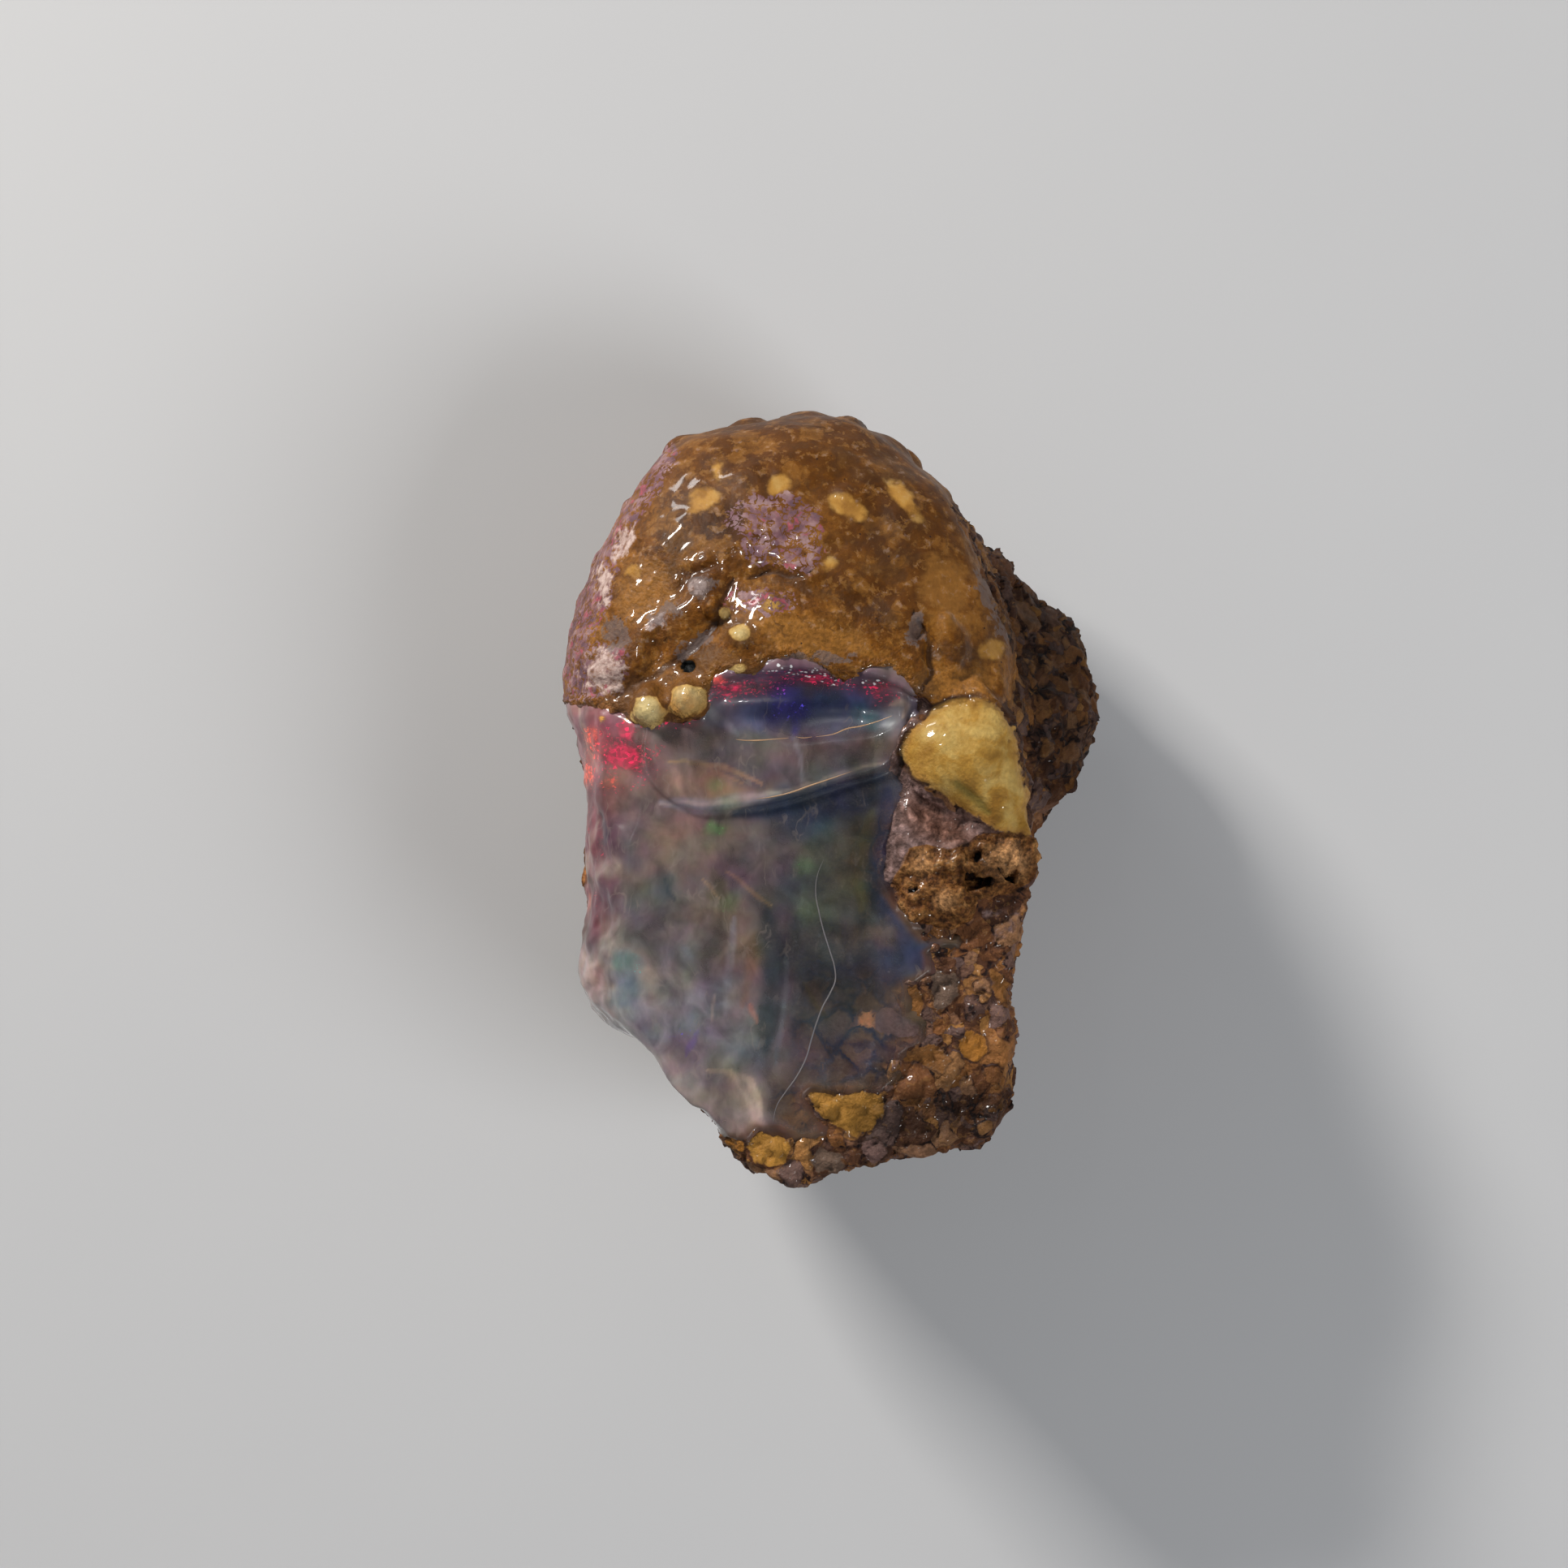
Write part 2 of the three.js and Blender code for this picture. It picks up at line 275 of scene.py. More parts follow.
def cloud(place, size, detail=3.0, roughness=0.55, distortion=0.0):
    """A noise pattern whose lumps are about size millimetres apart."""
    inputs = {"Vector": place, "Scale": 1 / (size * MM), "Detail": detail, "Roughness": roughness}
    return Wire.make("ShaderNodeTexNoise", {}, {**inputs, "Distortion": distortion})


def mottled(place, size, detail=3.0, roughness=0.5, distortion=0.0):
    """A cloud pattern that is spread out over the whole way from 0 to 1."""
    return cloud(place, size, detail, roughness, distortion).above(0.28, 0.72)


def bent(place, size, reach, detail=2.0):
    """Places that wander by up to about reach millimetres, so a pattern on them has no straight lines."""
    wander = cloud(place, size, detail).output("Color") - (0.5, 0.5, 0.5)
    return place + wander * ((2 * reach * MM,) * 3)


def cells(place, size, feature="F1", output="Color"):
    """A cell pattern of about size millimetres: a random colour, or a distance in cell sizes."""
    inputs = {"Vector": place, "Scale": 1 / (size * MM)}
    return Wire.make("ShaderNodeTexVoronoi", {"feature": feature}, inputs).output(output)


def dots(place, size, core, rim):
    """1 within core of the middle of each cell and 0 past rim, both in cell sizes."""
    return 1 - cells(place, size, "F1", "Distance").above(core, rim)


def lines_in(pattern, core, rim):
    """1 along the lines at which a pattern passes one half, and 0 where it is more than rim off."""
    return 1 - (pattern - 0.5).size().above(core, rim)


print("patterns ready")

# %% Starting and closing a finish


def new_finish(name):
    """Starts a material and makes its tree the one that is being built."""
    finish = bpy.data.materials.new(name)
    finish.use_nodes = True
    finish.node_tree.nodes.clear()
    Wire.tree = finish.node_tree
    return finish


def shader(**sockets):
    """A Principled shader. A socket's name is written with underscores for its spaces."""
    inputs = {name.replace("_", " "): value for name, value in sockets.items()}
    return Wire.make("ShaderNodeBsdfPrincipled", {}, inputs)


def close_finish(piece, finish, surface, volume=None):
    """Links the shaders to the output and gives the finish to a piece."""
    Wire.make("ShaderNodeOutputMaterial", {}, {"Surface": surface})
    if volume:
        Wire.tree.links.new(volume.socket, Wire.tree.nodes["Material Output"].inputs["Volume"])
    piece.data.materials.clear()
    piece.data.materials.append(finish)
    print(finish.name, "has", len(Wire.tree.nodes), "nodes")


print("finish helpers ready")

# %% [markdown]
# ## The sky
#
# Most of the light comes from the lamps, and the sky only lifts the shadows. One even grey would do for a
# dull stone. The flat window mirrors what is straight overhead into the lens, and a bright sky there would
# lay a veil over the depth of the opal. So the sky gets dimmer towards its top.

# %% Even sky, dim overhead
HORIZON_LIGHT = 0.22
OVERHEAD_LIGHT = 0.05
sky = bpy.data.worlds.new("even_sky")
sky.use_nodes = True
Wire.tree = sky.node_tree
_, _, height = parts(Wire.make("ShaderNodeTexCoord", output="Generated"))
glow = between(height.above(0.70, 0.97), HORIZON_LIGHT, OVERHEAD_LIGHT)
background = sky.node_tree.nodes["Background"]
background.inputs["Color"].default_value = (0.90, 0.94, 1.0, 1)
sky.node_tree.links.new(glow.socket, background.inputs["Strength"])
bpy.context.scene.world = sky
bpy.context.scene.view_settings.view_transform = "Standard"
print("sky ready")

# %% [markdown]
# ## The floor
#
# A plain pale table top lies under the stone. It is stage, not part of the object. A faint cloudiness
# keeps it from being one flat tone.

# %% Pale floor
FLOOR_SIZE = 4.0
bpy.ops.object.select_all(action="DESELECT")
bpy.ops.mesh.primitive_plane_add(size=FLOOR_SIZE, location=(0, 0, 0))
floor = bpy.context.object
floor.name = "pale_floor"
floor_finish = new_finish("pale_floor")
floor_tone = tinted(cloud(own_place(), 90), (0.52, 0.52, 0.525), (0.57, 0.565, 0.56))
close_finish(floor, floor_finish, shader(Base_Color=floor_tone, Roughness=0.8))

# %% [markdown]
# ## Reading places on the stone
#
# What lies where on this stone is told in millimetres, as it is seen from above: X to the right and Y
# towards the dome. The lower a point lies, the smaller it looks, so its place is first brought up to the
# window's plane. Outlines answer how far inside a region a point is, and touches are soft ellipses, as
# from a brush. Both are bent a little by noise, because nothing in a stone is a clean ellipse. The noise
# would start from the clock, so it gets a seed, and every run gives the same stone.

# %% Outlines


def eased(low, high, value):
    """0 below low, 1 above high, eased between."""
    share = np.clip((value - low) / (high - low), 0, 1)
    return share * share * (3 - 2 * share)


def seen_from_above(points):
    """The X and Y at which the lens sees points, in millimetres on the window's plane."""
    nearness = VIEW_DISTANCE / (WINDOW_HEIGHT + VIEW_DISTANCE - points[:, 2:])
    return np.array(VIEW_AXIS) + (points[:, :2] - VIEW_AXIS) * nearness


def to_side(place, start, end):
    """The distance to a straight side, and how much of the side has gone by at its nearest place."""
    side = end - start
    away = place - start
    along = np.clip(away @ side / (side @ side), 0, 1)
    return np.linalg.norm(away - along[:, None] * side, axis=1), along


def inside(place, outline):
    """How far inside an outline each place lies, in millimetres; less than 0 is outside."""
    nearest = np.full(len(place), np.inf)
    within = np.zeros(len(place), bool)
    for start, end in zip(np.array(outline), np.roll(outline, -1, axis=0)):
        nearest = np.minimum(nearest, to_side(place, start, end)[0])
        crosses = (place[:, 1] < start[1]) != (place[:, 1] < end[1])
        step = np.where(crosses, (place[:, 1] - start[1]) / (end[1] - start[1] or 1), 0)
        within ^= crosses & (place[:, 0] < start[0] + step * (end[0] - start[0]))
    return np.where(within, nearest, -nearest)


print("outlines can be read")

# %% Touches


def way_out(place, centre, radii, turn=0):
    """How much of the way from an ellipse's middle to its rim each place lies: 1 is on the rim."""
    angle = np.radians(turn)
    away = place - centre
    along = (away[:, 0] * np.cos(angle) + away[:, 1] * np.sin(angle)) / radii[0]
    across = (away[:, 1] * np.cos(angle) - away[:, 0] * np.sin(angle)) / radii[1]
    return np.hypot(along, across)


def touch(place, centre, radii, turn=0, soft=0.65):
    """1 in the middle of an ellipse and 0 outside it, eased over the soft part of its radius."""
    return 1 - eased(1 - soft, 1 + soft, way_out(place, centre, radii, turn))


def touches(place, several):
    """The strongest of several touches: (centre, radii), (centre, radii, turn) and so on."""
    return np.max([touch(place, *one) for one in several], axis=0)


print("touches can be read")

# %% Strokes, noise and calm


def stroke(place, width, line):
    """1 along a line of places and 0 beside it, eased over about width millimetres, thin at both ends."""
    nearest = np.full(len(place), np.inf)
    reached = np.zeros(len(place))
    for number, (start, end) in enumerate(zip(np.array(line[:-1]), np.array(line[1:]))):
        distance, along = to_side(place, start, end)
        closer = distance < nearest
        nearest = np.where(closer, distance, nearest)
        reached = np.where(closer, (number + along) / (len(line) - 1), reached)
    fullness = np.sin(np.pi * np.clip(reached * 0.9 + 0.05, 0, 1)) ** 0.5
    return 1 - eased(0.3, 1.5, nearest / (width * np.maximum(fullness, 0.05)))


NOISE_SEED = 7
noise.seed_set(NOISE_SEED)


def wandering(points, size, reach, seed=0):
    """Smooth random steps of up to about reach millimetres at each point."""
    steps = [noise.noise_vector(Vector(point) / size + Vector((seed, seed, seed))) for point in points]
    return np.array(steps) * reach


def calmed(values, edges, rounds):
    """Averages what neighbours on a mesh hold, a number of rounds over."""
    values = np.array(values, float).reshape(len(values), -1)
    ends = np.concatenate([edges, edges[:, ::-1]])
    count = np.bincount(ends[:, 0], minlength=len(values))[:, None] + 1
    for _ in range(rounds):
        sums = [np.bincount(ends[:, 0], part[ends[:, 1]], len(values)) for part in values.T]
        values = (values + np.stack(sums, axis=1)) / count
    return values


print("strokes ready, noise seed", NOISE_SEED)

# %% Reading and writing a mesh


def read(items, name, width=1):
    """A property of all points, edges or faces as a table."""
    kind = {"select": bool, "vertices": np.int32}.get(name, float)
    table = np.empty(len(items) * width, kind)
    items.foreach_get(name, table)
    return table.reshape(len(items), width) if width > 1 else table


def places_of(piece):
    return read(piece.data.vertices, "co", 3) / MM


def put_places(piece, points):
    piece.data.vertices.foreach_set("co", (points * MM).ravel())
    piece.data.update()


def keep(piece, name, values):
    """Keeps a number, or a colour with its strength, at the points of a mesh."""
    colour = np.ndim(values) == 2
    kind, slot_name = ("FLOAT_COLOR", "color") if colour else ("FLOAT", "value")
    layer = piece.data.attributes.get(name) or piece.data.attributes.new(name, kind, "POINT")
    layer.data.foreach_set(slot_name, np.ravel(values))


print("mesh reading ready")

# %% [markdown]
# ## A fine skin for the stone
#
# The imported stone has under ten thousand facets. A voxel remesh gives a copy of it an even fine skin, as
# a sculptor would, and a smoothing modifier rubs the facets away while the form stays. The copy's doubled
# points are merged first. The rock and the opal both start from such a skin, so they meet along the same
# surface.

# %% Remesh and smooth a copy
MERGE_DISTANCE = 1e-6


def only(piece):
    """Selects one piece alone and makes it active."""
    bpy.ops.object.select_all(action="DESELECT")
    piece.select_set(True)
    bpy.context.view_layer.objects.active = piece


def shaped(piece, kind, **settings):
    """Adds a modifier and applies it."""
    only(piece)
    modifier = piece.modifiers.new(kind.lower(), kind)
    for name, value in settings.items():
        setattr(modifier, name, value)
    bpy.ops.object.modifier_apply(modifier=modifier.name)


def stone_skin(name, grain, rubbing):
    """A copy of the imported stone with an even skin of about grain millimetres."""
    piece = bpy.data.objects.new(name, stone_node.data.copy())
    bpy.context.collection.objects.link(piece)
    piece.data.materials.clear()
    only(piece)
    bpy.ops.object.mode_set(mode="EDIT")
    bpy.ops.mesh.select_all(action="SELECT")
    bpy.ops.mesh.remove_doubles(threshold=MERGE_DISTANCE)
    bpy.ops.object.mode_set(mode="OBJECT")
    shaped(piece, "REMESH", mode="VOXEL", voxel_size=grain * MM)
    shaped(piece, "SMOOTH", factor=0.5, iterations=rubbing)
    print(name, "has", len(piece.data.polygons), "faces of", grain, "mm")
    return piece


ROCK_GRAIN = 0.35
OPAL_GRAIN = 0.20
rock = stone_skin("host_rock", ROCK_GRAIN, 8)
opal = stone_skin("opal_body", OPAL_GRAIN, 14)

# %% [markdown]
# ## Where the opal lies
#
# The opal fills the ground window, the raised shell and the hollow below the crest, and wraps round the
# left edge as a pink skin. Its faces could be picked by hand, but a finer skin would need that again. Its
# outline as seen from above, with the lowest height that it reaches on the left side, gives one number
# instead: how many millimetres inside the opal a point of any skin is.

# %% The opal's outline
OPAL_OUTLINE = [
    (-25.5, 7.9), (-20.1, 7.7), (-18.1, 6.9), (-16.7, 5.9), (-15.4, 5.4), (-14.1, 6.3), (-12.6, 6.2),
    (-11.1, 6.6), (-10.4, 7.8), (-10.7, 9.1), (-10.1, 10.2), (-9.0, 10.5), (-7.7, 10.1), (-6.5, 10.4),
    (-5.9, 11.4), (-4.3, 11.7), (-1.9, 11.4), (-0.8, 10.6), (0.9, 9.9), (2.3, 9.9), (3.0, 10.7),
    (4.7, 10.9), (5.9, 10.1), (6.7, 8.8), (6.8, 6.9), (5.6, 5.2), (5.0, 3.4), (5.0, 1.7), (5.9, 0.3),
    (5.2, -1.4), (4.6, -2.8), (3.9, -4.5), (3.8, -6.6), (4.5, -8.1), (6.3, -10.7), (7.5, -11.9),
    (9.2, -12.3), (10.4, -12.6), (7.9, -13.2), (8.5, -15.0), (6.3, -16.0), (6.1, -18.6), (7.5, -19.4),
    (7.2, -21.1), (5.4, -21.9), (5.0, -24.1), (4.1, -25.0), (0.9, -25.0), (-1.9, -24.7), (-2.6, -25.5),
    (-1.9, -27.0), (-0.8, -28.7), (-2.9, -29.2), (-4.6, -28.4), (-6.6, -28.1), (-7.5, -29.1),
    (-10.6, -29.1), (-16.2, -25.6), (-25.5, -20.5),
]
LOWEST_OPAL = 18.0
LOWEST_AT_FOOT = 25.5
INWARD_ROUNDS = 60


def opal_depth_in(points, place):
    """How far inside the opal's outline each point of the skin lies, in millimetres."""
    ragged = place + wandering(points, 1.1, 0.22)[:, :2] + wandering(points, 3.0, 0.3, 5)[:, :2]
    foot = eased(-14, -22, place[:, 1])
    lowest = LOWEST_OPAL + (LOWEST_AT_FOOT - LOWEST_OPAL) * foot + wandering(points, 4.0, 1.6, 9)[:, 2]
    return np.minimum(inside(ragged, OPAL_OUTLINE), points[:, 2] - lowest)


def describe(piece):
    """A skin's points, their seen places, its edges, normals, ways inwards and depths inside the opal."""
    points = places_of(piece)
    edges = read(piece.data.edges, "vertices", 2)
    normals = read(piece.data.vertices, "normal", 3)
    inward = -calmed(normals, edges, INWARD_ROUNDS)
    inward /= np.linalg.norm(inward, axis=1)[:, None]
    place = seen_from_above(points)
    return points, place, edges, normals, inward, opal_depth_in(points, place)


print("opal outline of", len(OPAL_OUTLINE), "corners")

# %% [markdown]
# ## The bed under the opal
#
# Through the clear opal one sees the rock that it grew on. A dark patch of paint would do from straight
# above, but it wouldn't shift behind the surface as one looks from the side. So the rock is sunk where the
# opal lies on it. The bed falls steeply beside the knob and the clay, and gently at the lower right, where
# fragments of rock lie just under the surface. The deepest part is about six millimetres down.

# %% Depth of the bed
BED_DEPTH = 6.0
SHALLOWS = [
    (1.0, (2.5, -22.0), (5.5, 3.6), -10),
    (0.7, (5.5, -18.0), (3.2, 3.4)),
    (1.8, (-1.0, -18.5), (4.0, 3.5)),
    (1.2, (-4.0, -26.0), (3.6, 3.0), -20),
    (3.0, (-21.0, -6.0), (3.2, 16.0)),
    (2.4, (-10.0, -26.0), (5.0, 3.0), -35),
]
STEEP_BANK = 1.5
GENTLE_BANK = 0.32
GENTLE_BANKS = [((5.5, -20.0), (6.0, 7.0)), ((-1.0, -27.5), (7.0, 3.2))]


def bed_depth(place, depth_in):
    """How deep the rock lies under the opal's surface, in millimetres."""
    deepest = np.full(len(place), BED_DEPTH)
    for depth, *ellipse in SHALLOWS:
        share = touch(place, *ellipse)
        deepest += (depth - deepest) * share
    bank = STEEP_BANK + (GENTLE_BANK - STEEP_BANK) * touches(place, GENTLE_BANKS)
    return deepest * np.tanh(np.maximum(depth_in, 0) * bank / deepest)


print("bed down to", BED_DEPTH, "mm")

# %% [markdown]
# ## Regions of the rock
#
# The rock isn't one material. A clayey ochre crust covers the dome, a yellow clay nodule and a porous
# knob stand at the right, small cream nodules sit in the crust, and the broken faces and the flush corner
# of the window show a breccia of brown fragments. A picture texture could hold these regions, but it would
# need unwrapping and show a seam. So each region is an outline in millimetres, and becomes a number at the
# points of the skin, which both the relief and the colours read.

# %% Outlines of the rock's regions
CRUST = [
    (-24.5, 7.6), (-19.4, 7.7), (-17.4, 6.9), (-15.4, 5.7), (-10.8, 6.9), (-10.5, 10.0), (-8.8, 10.2),
    (-6.3, 10.5), (-5.7, 11.4), (-1.9, 11.4), (0.9, 9.8), (2.6, 10.2), (3.1, 10.8), (5.0, 10.9),
    (6.8, 9.0), (8.5, 7.7), (10.6, 8.4), (14.3, 7.6), (15.6, 9.0), (15.4, 12.0), (14.0, 15.2),
    (12.2, 20.0), (9.9, 25.5), (7.1, 30.0), (3.7, 33.5), (-3.2, 36.0), (-12.0, 35.0), (-19.0, 30.0),
    (-24.6, 20.0), (-26.0, 10.3),
]
YELLOW_CLAY = [
    (5.4, 3.8), (6.3, 5.5), (7.2, 6.3), (8.5, 7.6), (10.2, 8.4), (12.3, 8.6), (14.3, 7.6), (15.6, 5.5),
    (16.2, 2.1), (17.0, -0.7), (18.5, -2.8), (18.5, -3.6), (14.3, -3.2), (12.3, -2.2), (10.0, -0.8),
    (8.3, 0.3), (7.0, 1.5), (5.9, 2.6),
]
POROUS_KNOB = [
    (5.0, -7.2), (6.4, -4.5), (7.8, -4.0), (9.9, -4.7), (11.2, -3.8), (13.0, -2.9), (18.5, -3.4),
    (18.5, -5.5), (17.0, -7.2), (15.6, -8.6), (12.6, -8.8), (11.9, -10.7), (9.5, -11.6), (6.8, -11.2),
    (5.4, -9.0),
]
print("crust outline of", len(CRUST), "corners, clay of", len(YELLOW_CLAY), "and knob of", len(POROUS_KNOB))

# %% Mauve rock, lilac windows and patches
MAUVE_RIM = [
    (7.0, 1.5), (8.5, 0.0), (10.6, -1.4), (13.0, -2.6), (11.2, -4.0), (9.5, -4.8), (7.8, -4.1),
    (6.3, -4.7), (5.2, -7.2), (4.3, -8.1), (3.4, -6.2), (3.6, -4.1), (4.4, -1.7), (5.2, 0.3), (4.4, 2.1),
    (4.5, 4.1), (6.4, 6.9), (7.2, 6.2), (5.6, 4.5), (5.6, 2.4),
]
MAUVE_ROCK = [(12.3, -9.1), (15.9, -9.0), (17.0, -10.3), (15.5, -12.8), (13.0, -13.1), (12.3, -11.0)]
LILAC_PATCHES = [
    [(-9.4, 23.4), (-8.4, 25.2), (-6.0, 25.5), (-2.9, 25.7), (-1.0, 23.4), (-0.8, 21.0), (-1.9, 19.0),
     (-5.0, 19.2), (-7.4, 20.0), (-7.7, 22.1)],
    [(-9.2, 17.2), (-6.7, 17.8), (-3.6, 17.4), (-2.9, 16.0), (-4.5, 15.0), (-7.0, 15.5), (-9.0, 15.9)],
    [(-13.6, 30.0), (-12.8, 29.0), (-14.6, 26.2), (-16.3, 24.1), (-17.6, 22.1), (-18.4, 19.3),
     (-19.2, 16.6), (-20.1, 13.1), (-17.4, 12.4), (-17.0, 10.3), (-18.1, 9.0), (-21.2, 8.1),
     (-26.0, 8.0), (-26.0, 17.0), (-22.0, 26.0), (-17.0, 32.0)],
]
PALE_PATCHES = [
    ((-19.3, 10.6), (1.9, 1.7)), ((-14.9, 14.8), (1.3, 0.5), 35), ((-19.6, 18.0), (0.7, 1.6)),
    ((-17.8, 21.5), (0.7, 1.4), -20), ((-11.4, 17.6), (0.6, 0.8), 60),
]
GREY_PATCHES = [
    ((-11.2, 17.8), (1.2, 1.3), 60), ((-14.3, 15.5), (1.8, 0.9), 35), ((7.0, 13.6), (0.8, 0.8)),
    ((13.2, 17.4), (1.0, 1.9), 30), ((14.6, 14.6), (0.9, 1.7), 20), ((-1.5, 11.6), (3.2, 0.5)),
    ((-11.8, 12.8), (2.4, 0.7), 35), ((7.2, 14.9), (0.6, 0.5)), ((-18.3, 13.6), (1.1, 1.7), 10),
]
# Dark zones: partly darker crust, partly painted shade in the hollows of the dome and across its top.
DARK_AND_SHADED_ZONES = [
    ((4.8, 28.2), (1.5, 3.2), 35), ((4.8, 21.6), (2.8, 3.8), 20), ((-13.6, 21.4), (1.5, 3.2), -15),
    ((2.0, 27.6), (3.0, 1.2), -30), ((-2.2, 17.8), (5.0, 0.7), -25), ((10.5, 12.0), (3.0, 1.2), -15),
    ((-10.8, 12.0), (1.8, 1.0), 30), ((7.4, 9.4), (1.2, 1.6)), ((3.6, 16.0), (2.6, 1.2), -35),
    ((-5.0, 33.2), (10.0, 2.2)),
]
# Amber zones: partly darker amber crust, partly painted shade in the two hollows and along the top of the
# dome.
AMBER_AND_SHADED_ZONES = [
    ((-10.5, 21.5), (5.5, 5.0), -20), ((5.0, 21.0), (5.0, 7.0), -25), ((-2.0, 28.5), (9.0, 3.2)),
    ((-4.0, 31.5), (10.0, 3.6)),
]
print("patches:", len(LILAC_PATCHES), "lilac,", len(PALE_PATCHES), "pale,", len(GREY_PATCHES), "grey")

# %% Nodules, spots and creases
CREAM_NODULES = [
    ((-9.2, 15.5), (0.6, 0.7)), ((-7.9, 13.9), (1.0, 0.85)), ((-6.7, 10.1), (0.5, 0.4)),
    ((-15.8, 7.5), (1.8, 2.2), 12), ((-12.6, 8.3), (2.0, 1.7)),
    ((-8.2, 11.0), (0.9, 0.7)),
]
YELLOW_SPOTS = [
    ((-4.6, 26.4), (1.15, 1.0)), ((1.2, 24.6), (1.9, 1.0), -25), ((6.1, 25.2), (2.4, 0.8), -50),
    ((-11.0, 25.2), (1.6, 1.1), 20), ((-5.3, 16.3), (1.0, 0.8)), ((-0.5, 19.7), (0.8, 0.6)),
    ((-17.0, 19.1), (0.9, 0.8)), ((13.4, 12.4), (1.3, 1.0)), ((-9.8, 27.6), (0.5, 0.9)),
]
# The creases are cut into the relief, and their lines are also painted darker as painted shade in the
# grooves.
CREASES = [
    (0.40, [(-18.8, 8.6), (-15.7, 9.9), (-12.2, 12.3), (-10.1, 14.5), (-9.4, 16.6), (-8.4, 18.5)]),
    (0.25, [(-8.4, 18.5), (-6.0, 19.0), (-3.6, 18.8), (-1.5, 19.3)]),
    (0.30, [(6.8, 15.5), (8.2, 13.0), (8.4, 10.5), (7.4, 8.6)]),
]
SWELL_LINES = [
    (1.7, [(-20.0, 10.4), (-16.8, 11.9), (-13.4, 14.3), (-11.3, 16.4), (-10.4, 18.6)]),
    (1.2, [(9.6, 15.0), (10.2, 12.4), (10.0, 10.4)]),
]
print("nodules:", len(CREAM_NODULES), "cream,", len(YELLOW_SPOTS), "yellow, creases:", len(CREASES))

# %% Holes, slits and shaded places
KNOB_HOLES = [
    ((12.3, -5.2), (0.45, 0.55)), ((12.9, -7.3), (1.2, 0.26), -10), ((11.6, -6.9), (0.45, 0.35)),
    ((14.9, -6.9), (1.3, 0.14), -35), ((6.7, -8.0), (0.5, 0.4)), ((10.4, -3.7), (0.5, 0.2)),
    ((13.9, -8.9), (1.4, 0.25), 5),
]
CLAY_SLIT = [(10.2, 1.2), (11.2, 0.4), (12.3, -0.6), (13.2, -1.5)]
CLAY_LINE = [((5.8, 3.4), (2.6, 4.0), 20), ((8.8, 8.0), (4.0, 1.2), 15)]
KNOB_PALE = [((14.9, -5.4), (1.7, 1.5)), ((9.4, -8.9), (0.9, 0.7)), ((7.4, -5.6), (0.8, 1.0))]
KNOB_DARK = [((12.4, -6.0), (1.9, 1.9)), ((8.8, -2.4), (3.2, 1.6), -35)]
GOLDEN_ZONES = [
    ((9.6, 17.6), (2.2, 3.0), 20), ((-2.0, 13.4), (5.0, 1.6), -8), ((-16.0, 17.0), (2.6, 3.0)),
    ((10.5, 9.6), (3.4, 1.2)),
]
HOLLOWS = [
    ((-14.3, 21.0), (2.6, 4.4), -15), ((4.4, 20.5), (3.2, 4.6), 22), ((-2.0, 17.6), (4.6, 1.0), -15),
    ((8.6, 12.4), (1.1, 2.6), 10),
]
BROWN_DRAPES = [
    ((-15.6, 9.3), (2.3, 0.9), 15), ((-14.2, 8.6), (0.5, 1.0), -8), ((-17.7, 8.0), (0.9, 1.2), -20),
    ((-12.2, 10.2), (2.0, 0.8), 15), ((-9.5, 11.6), (1.5, 0.6)),
]
# Painted shade: the rock behind the dome and along the lower edge is painted darker where shade falls.
SHADED_ROCK_ZONES = [((18.5, 13.0), (5.5, 9.5)), ((20.0, 4.0), (4.0, 6.0)), ((9.0, -27.0), (8.0, 2.6), 10)]
print("holes:", len(KNOB_HOLES), "hollows:", len(HOLLOWS))

